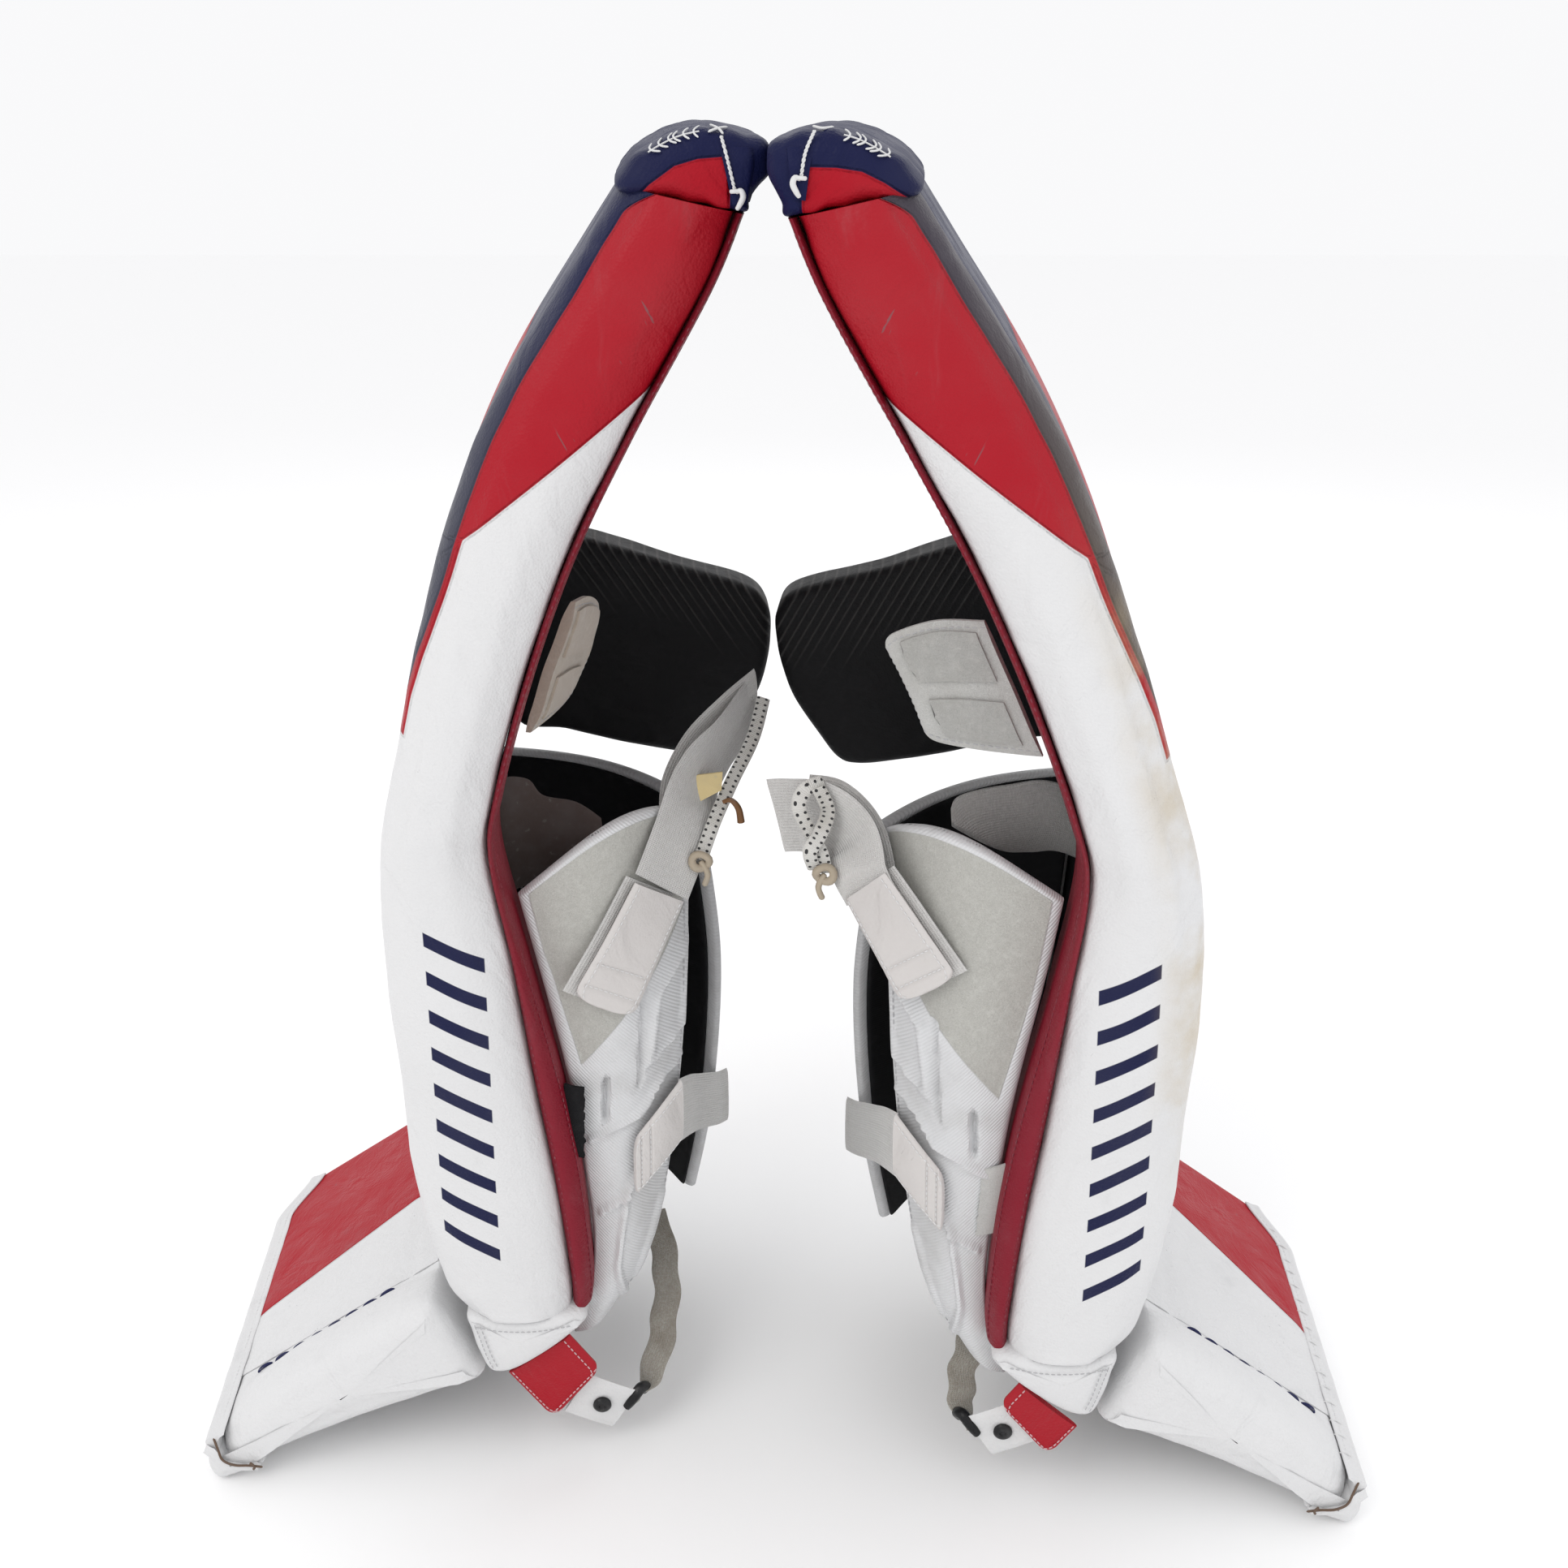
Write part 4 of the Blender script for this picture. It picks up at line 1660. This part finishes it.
def build_tab(side, name, path, paint, sheared):
    """A sewn tab on a strap, with a stitch row in each channel and one up each edge."""
    rings = ribbon(path, TAB_WIDTH, 0.0048, 110, columns=TAB_COLUMNS, crown=0.0006, shape=tab_shape,
                   relief=tab_relief, sheared=sheared)
    build(Shape().loft(rings), side, name + "_tab", paint["pearl"], body=name + "_strap",
          slot="pearl_leather", stands_for=(name + "_strap_tab",))
    other = 2 * TAB_COLUMNS + 1
    face = 0 if rings[50][TAB_MIDDLE][1] < rings[50][TAB_MIDDLE + TAB_COLUMNS + 1][1] else TAB_COLUMNS + 1

    def lifted(line, row):
        """The line a hair off the tab's outer face."""
        here = rings[row][face + TAB_MIDDLE]
        there = rings[row][other - TAB_MIDDLE if face == 0 else TAB_MIDDLE]
        off = (Vector(here) - Vector(there)).normalized() * 0.0003
        return [tuple(Vector(p) + off) for p in line]

    thread = Shape()
    for row in (19, 37):
        stitches(thread, lifted([rings[row][face + k] for k in range(3, 22)], row), 0.0034, 0.0025, 0.00038)
    for k in (2, 22):
        stitches(thread, lifted([ring[face + k] for ring in rings[6:108]], 50), length=0.0026)
    build(thread, side, name + "_tab_stitches", paint["white_thread"], body=name + "_strap",
          slot="pearl_leather")


def build_straps(side, paint):
    for name, tab, path, width, crown, body, sheared in (
        ("upper", UPPER_TAB_PATHS[side], UPPER_STRAP_PATHS[side], UPPER_WIDTH, 0.0010, "outer_wrap", False),
        ("lower", LOWER_TAB_PATH, LOWER_STRAP_PATH, LOWER_WIDTH, 0.0004, "lower_strap", True),
    ):
        build_tab(side, name, tab, paint, sheared)
        rings = ribbon(path, width, ELASTIC_THICKNESS, 90, columns=16, crown=crown, sheared=sheared)
        build(Shape().loft(rings), side, name + "_elastic", paint["elastic_light"], body=body, slot="elastic",
              stands_for=(name + "_strap",))
    build_loop(side, paint)
    tie = Shape()
    for path in (WEBBING_PATHS[side], WEBBING_CROSS)[:WEBBING_LAYERS[side]]:
        tie.loft(ribbon(path, WEBBING_WIDTH, WEBBING_THICKNESS, 70, columns=8))
    build(tie, side, "webbing", paint["webbing"], body="outer_wrap", slot="webbing",
          stands_for=("webbing_tie",))
    end = WEBBING_PATHS[side][-1][0]
    loop = []
    for k in range(25):
        turn = 2.8 * math.pi * k / 24
        depth = -0.0022 - 0.0012 * math.sin(2.0 * turn)
        loop.append((0.0052 * math.cos(turn), depth, 0.0045 * math.sin(turn)))
    sizes = [0.0018 + 0.0008 * math.sin(math.pi * i / 24) for i in range(25)]
    knot = tube(Shape(), slipped(loop, end), sizes, sides=10, taper=0.5)
    tail = ((0.0, -0.002, 0.0), (0.004, -0.003, -0.008), (0.002, -0.002, -0.016))
    cord(knot, slipped(tail, end), 12, 0.0019, sides=10, taper=0.7)
    build(knot, side, "webbing_knot", paint["tan_thread"], body="outer_wrap", slot="webbing")


LOOP_PATHS = {
    "left": (
        ((-0.0560, -0.0560, 0.4180), (0.80, 0.45, -0.40)),
        ((-0.0545, -0.0450, 0.4390), (0.75, 0.50, -0.42)),
        ((-0.0440, -0.0330, 0.4600), (0.55, 0.60, -0.58)),
        ((-0.0250, -0.0160, 0.4760), (0.35, 0.65, -0.67)),
        ((-0.0060, 0.0020, 0.4850), (0.30, 0.60, -0.74)),
    ),
    "right": (
        ((-0.0480, -0.0690, 0.4060), (0.70, 0.58, -0.42)),
        ((-0.0410, -0.0590, 0.4300), (0.60, 0.30, -0.74)),
        ((-0.0270, -0.0470, 0.4420), (0.15, 0.05, -0.99)),
        ((-0.0090, -0.0390, 0.4420), (-0.10, -0.05, -0.99)),
    ),
}


LOOP_TAPE = (
    ((-0.0480, -0.0560, 0.4490), (-0.0290, -0.0540, 0.4500)),
    ((-0.0450, -0.0600, 0.4330), (-0.0300, -0.0580, 0.4400)),
)
LOOP_TOGGLE = (
    (-0.0300, -0.0720, 0.4380), (-0.0250, -0.0715, 0.4390), (-0.0205, -0.0705, 0.4330),
    (-0.0190, -0.0700, 0.4240),
)


def build_loop(side, paint):
    """The elastic's second layer: behind the loop, and under the tab."""
    layer = Shape().loft(ribbon(LOOP_PATHS[side], 0.030, 0.0018, 70, columns=12, crown=-0.0012))
    under = [((u - 0.0052, v + 0.0038, z + 0.0030), across) for (u, v, z), across in UPPER_TAB_PATHS[side]]
    layer.loft(ribbon(under, TAB_WIDTH, 0.0022, 40, columns=12))
    build(layer, side, "elastic_layer", paint["elastic_light"], body="outer_wrap", slot="elastic")
    if side == "left":
        back = [slipped(row, (0.0, 0.0015, 0.0)) for row in LOOP_TAPE]
        build(Shape().slab(LOOP_TAPE, back), side, "loop_tape", paint["yellow_tape"], body="outer_wrap",
              slot="webbing")
        toggle = tube(Shape(), spline(LOOP_TOGGLE, 14), [0.0012 + 0.0012 * i / 14 for i in range(15)])
        build(toggle, side, "loop_toggle", paint["brown"], body="outer_wrap", slot="webbing")


FLAP_PAINT = {"left": "flap", "right": "flap_light"}
FLAP_EDGES = {
    "left": (
        ((-0.1870, 0.4300), (-0.1640, 0.4420), (-0.1480, 0.4400), (-0.1393, 0.4272), (-0.1190, 0.4223),
         (-0.1040, 0.4130)),
        ((-0.1870, 0.3660), (-0.1640, 0.3640), (-0.1540, 0.3660), (-0.1317, 0.3700), (-0.1150, 0.3760),
         (-0.1010, 0.3920)),
    ),
    "right": (
        ((-0.1870, 0.4380), (-0.1509, 0.4547), (-0.1240, 0.4497), (-0.0970, 0.4415), (-0.0910, 0.4350)),
        ((-0.1870, 0.3950), (-0.1575, 0.4076), (-0.1380, 0.4060), (-0.1196, 0.4089), (-0.0912, 0.4240)),
    ),
}


def build_flap(side, paint):
    """The soft flap inside the calf channel, sewn to the pad's core."""
    high, low = FLAP_EDGES[side]

    def on_flap(f, g):
        u, z = mix(curve_at(high, f), curve_at(low, f), g)
        v = -0.0300 - 0.0035 * math.sin(7.0 * f + 1.5 * g) - 0.0050 * math.sin(math.pi * g)
        rim = 0.0016 * math.sqrt(max(1.0 - abs(2.0 * g - 1.0) ** 6, 0.05)) * smooth_step(1.0, 0.94, f)
        return (u, v - rim - 0.0003, z), (u, v + rim + 0.0003, z)

    build(Shape().panel(40, 14, on_flap), side, "channel_flap", paint[FLAP_PAINT[side]],
          body="shin", slot="felt", fill=0.3)


# (corners, raggedness, depth across the pad, paint)
TAGS = {
    "left": (((-0.1300, 0.2736), (-0.1180, 0.2702), (-0.1202, 0.2207), (-0.1300, 0.2242)), 0.0010, -0.1135,
             "black_lining"),
    "right": (((-0.1270, 0.2390), (-0.1120, 0.2340), (-0.1100, 0.1870), (-0.1220, 0.1900)), 0.0006, -0.1085,
              "felt_right"),
}


def build_tag(side, paint):
    """The worn black tag at the left wrap's front edge, and the right wrap's second felt patch."""
    corners, ragged, depth, look = TAGS[side]

    def on_tag(f, g):
        u, z = mix(mix(corners[0], corners[3], f), mix(corners[1], corners[2], f), g)
        u += ragged * noise.noise(Vector((f * 14.0, g * 3.0, 1.0))) * (2.0 if g in (0.0, 1.0) else 0.5)
        v = depth - 0.0016 * math.sin(2.6 * f) - 0.0008 * math.sin(math.pi * g)
        return (u, v - 0.0008, z), (u, v + 0.0010, z)

    build(Shape().panel(24, 8, on_tag), side, "wrap_tag", paint[look], body="outer_wrap", slot="felt")


# ---------------------------------------------------------------- paint


def wrap_paint(name, inner=False):
    """White moulded foam with fine ribs, dirty in its hollows; a felt area on the outer wrap."""
    net = Net(name)
    signed, u, z = net.split(net.aux)
    slanted = net.add(net.mul(u, 0.75), net.mul(z, 0.66))
    ribs = net.wave(slanted, 0.0017)
    patches = net.noise(20.0, 5.0, 0.62)
    fine = net.noise(420.0, 3.0, 0.6)
    colour = net.mix(net.step(patches, 0.42, 0.78, 0.0, 0.45), (0.66, 0.665, 0.675), (0.40, 0.39, 0.375))
    colour = net.mix(net.mul(ribs, 0.16), colour, (0.40, 0.40, 0.40))
    scratch = net.noise(1.0, 2.0, 0.5, net.stretch(260.0, 260.0, 24.0, net.turn(net.uvz, 0.9)))
    colour = net.mix(net.step(scratch, 0.70, 0.76, 0.0, 0.12), colour, (0.25, 0.25, 0.25))
    if inner:
        net.bump([(patches, 0.0012), (ribs, 0.0002), (fine, 0.0001)])
        return net.finish(colour, 0.6, Specular_IOR_Level=0.35)
    felted = net.step(signed, -0.0004, 0.0006)
    fibre = net.noise(1200.0, 4.0, 0.75, distortion=1.5)
    clump = net.noise(160.0, 4.0, 0.7)
    cloth = net.mix(net.step(fibre, 0.3, 0.7), (0.40, 0.395, 0.365), (0.575, 0.57, 0.535))
    cloth = net.mix(net.step(clump, 0.45, 0.75, 0.0, 0.3), cloth, (0.66, 0.66, 0.62))
    colour = net.mix(felted, colour, cloth)
    tangle = net.mul(felted, net.add(fibre, net.mul(clump, 2.0)))
    texture = net.add(tangle, net.mul(net.sub(1.0, felted), net.mul(ribs, 0.45)))
    net.bump([(patches, 0.0012), (texture, 0.0005)])
    return net.finish(colour, net.step(felted, 0.0, 1.0, 0.55, 0.95), Specular_IOR_Level=0.3)


def webbing_paint():
    """White nylon webbing with two rows of black dots."""
    net = Net("webbing")
    _, s, w = net.split(net.aux)
    dots = net.mul(net.wave(s, 0.0040), net.wave(w, 0.0051))
    ribs = net.wave(s, 0.0009)
    dirty = net.step(net.noise(40.0, 4.0, 0.6), 0.4, 0.8, 0.0, 0.4)
    colour = net.mix(dirty, (0.62, 0.61, 0.58), (0.36, 0.33, 0.28))
    colour = net.mix(net.step(dots, 0.62, 0.70), colour, (0.02, 0.02, 0.022))
    net.bump([(dots, 0.0003), (ribs, 0.00025)])
    return net.finish(colour, 0.75, Sheen_Weight=0.2)


def ribbed_black():
    """Black leather with thin raised rays running down from its top edge."""
    net = Net("black_ribbed")
    u, _, z = net.split(net.uvz)
    slanted = net.add(net.mul(u, 0.84), net.mul(z, 0.54))
    rays = net.math("POWER", net.wave(slanted, 0.0054), 5.0)
    top = net.add(z, net.mul(u, 0.38))
    length = net.noise(1.0, 2.0, 0.5, net.join(net.mul(slanted, 95.0), 0.0, 0.0))
    reach = net.sub(top, net.math("MULTIPLY_ADD", length, -0.070, 0.510))
    rays = net.mul(rays, net.step(reach, 0.0, 0.030))
    pebble = net.cells(700.0)
    dust = net.noise(26.0, 5.0, 0.62)
    fold = net.noise(1.0, 3.0, 0.5, net.stretch(30.0, 30.0, 60.0), 1.0)
    colour = net.mix(net.step(dust, 0.45, 0.8, 0.0, 0.4), (0.0060, 0.0060, 0.0070), (0.022, 0.022, 0.024))
    colour = net.mix(net.mul(rays, 0.75), colour, (0.070, 0.068, 0.066))
    net.bump([(fold, 0.0018), (rays, 0.0007), (pebble, 0.00016)])
    return net.finish(colour, net.step(dust, 0.3, 0.7, 0.52, 0.66), Specular_IOR_Level=0.22)


def black_lining():
    """Thin black lining cloth: a fine weave that stays dark at glancing angles."""
    net = Net("black_lining")
    u, _, z = net.split(net.uvz)
    weave = net.mul(net.wave(net.add(u, z), 0.0010), net.wave(net.sub(u, z), 0.0010))
    folds = net.noise(1.0, 3.0, 0.5, net.stretch(26.0, 26.0, 12.0), 0.8)
    dust = net.noise(70.0, 4.0, 0.6)
    colour = net.mix(net.step(dust, 0.5, 0.85, 0.0, 0.5), (0.0085, 0.0088, 0.0100), (0.030, 0.030, 0.031))
    net.bump([(folds, 0.0020), (weave, 0.0002)])
    return net.finish(colour, 0.78, Specular_IOR_Level=0.18)


LEATHERS = {
    "roll_left": dict(base=WHITE, zones=roll_zones, soil=0.55, scuff=0.7),
    "roll_right": dict(base=WHITE, zones=worn_roll_zones, soil=0.6, scuff=0.7, stain=edge_stain),
    "face": dict(base=WHITE, zones=face_zones, soil=0.5, scuff=0.7),
    "gusset": dict(base=DARK_RED, soil=0.25, scuff=0.3, rough=0.46),
    "navy": dict(base=NAVY, soil=0.06, scuff=0.18, rough=0.50, shine_level=0.12),
    "cap_left": dict(base=NAVY, zones=cap_zones("left"), soil=0.06, scuff=0.18, rough=0.50,
                     shine_level=0.12),
    "cap_right": dict(base=NAVY, zones=cap_zones("right"), soil=0.06, scuff=0.18, rough=0.50,
                      shine_level=0.12),
    "white": dict(base=WHITE, soil=0.45, scuff=0.55),
    "red": dict(base=RED, soil=0.2, scuff=0.25),
    "binding": dict(base=(0.69, 0.69, 0.695), soil=0.45, scuff=0.6, rough=0.5),
    "boot_left": dict(base=WHITE, zones=boot_zones("left"), soil=0.55, scuff=0.7),
    "boot_right": dict(base=WHITE, zones=boot_zones("right"), soil=0.55, scuff=0.7),
    "pearl": dict(base=(0.60, 0.575, 0.56), soil=0.3, scuff=0.3, rough=0.34, grain=0.6, coat=0.25),
    "white_strap": dict(base=(0.68, 0.68, 0.68), soil=0.4, scuff=0.5),
}
TEXTILES = {
    "lining": dict(base=(0.050, 0.052, 0.058), pitch=0.0022, knit=True, soil=0.25),
    "flap_light": dict(base=(0.42, 0.41, 0.40), pitch=0.0010, soil=0.4),
    "elastic": dict(base=(0.33, 0.305, 0.26), pitch=0.0010, soil=0.6, dirt=(0.16, 0.125, 0.09)),
    "elastic_light": dict(base=(0.60, 0.59, 0.575), pitch=0.0011, soil=0.3),
}
FELTS = {
    "cushion": dict(base=(0.115, 0.112, 0.105), soil=0.35),
    "felt_left": dict(base=(0.50, 0.41, 0.32)),
    "felt_right": dict(base=(0.62, 0.62, 0.60)),
    "felt_dark_left": dict(base=(0.52, 0.42, 0.33)),
    "felt_dark_right": dict(base=(0.47, 0.47, 0.45)),
}
PLAINS = {
    "flap": dict(base=(0.115, 0.088, 0.080), rough=0.8, grain=900.0, depth=0.0002, soil=0.5),
    "yellow_tape": dict(base=(0.62, 0.50, 0.26), rough=0.7, grain=600.0, depth=0.0002, soil=0.4),
    "brown": dict(base=(0.16, 0.075, 0.030), rough=0.6, grain=500.0, depth=0.0002, soil=0.3),
    "tan_foam": dict(base=(0.20, 0.135, 0.085), rough=0.85, grain=500.0, depth=0.0003, soil=0.3),
    "black_plastic": dict(base=(0.010, 0.010, 0.011), rough=0.32, soil=0.2),
}
THREADS = {
    "white_thread": (0.70, 0.70, 0.70),
    "grey_thread": (0.46, 0.46, 0.47),
    "pink_thread": (0.62, 0.40, 0.42),
    "tan_thread": (0.40, 0.34, 0.26),
    "brown_thread": (0.13, 0.085, 0.060),
    "red_thread": (0.20, 0.03, 0.045),
    "navy_thread": (0.015, 0.018, 0.075),
}
PAINT = {
    "wrap": wrap_paint("wrap"),
    "inner_wrap": wrap_paint("inner_wrap", inner=True),
    "black_ribbed": ribbed_black(),
    "black_lining": black_lining(),
    "webbing": webbing_paint(),
}
for maker, looks in ((leather, LEATHERS), (textile, TEXTILES), (felt, FELTS), (plain, PLAINS)):
    PAINT.update((name, maker(name, **look)) for name, look in looks.items())
for name, thread_colour in THREADS.items():
    PAINT[name] = plain(name, thread_colour, rough=0.7, grain=1500.0, depth=0.00012, soil=0.35)


BUILDERS = (
    build_long_pieces, build_cap, build_boot, build_patch, build_toe_tab, build_toe_strap,
    build_knee, build_wraps, build_straps, build_tag, build_flap,
)

for pad_side in ("left", "right"):
    for build_section in BUILDERS:
        build_section(pad_side, PAINT)
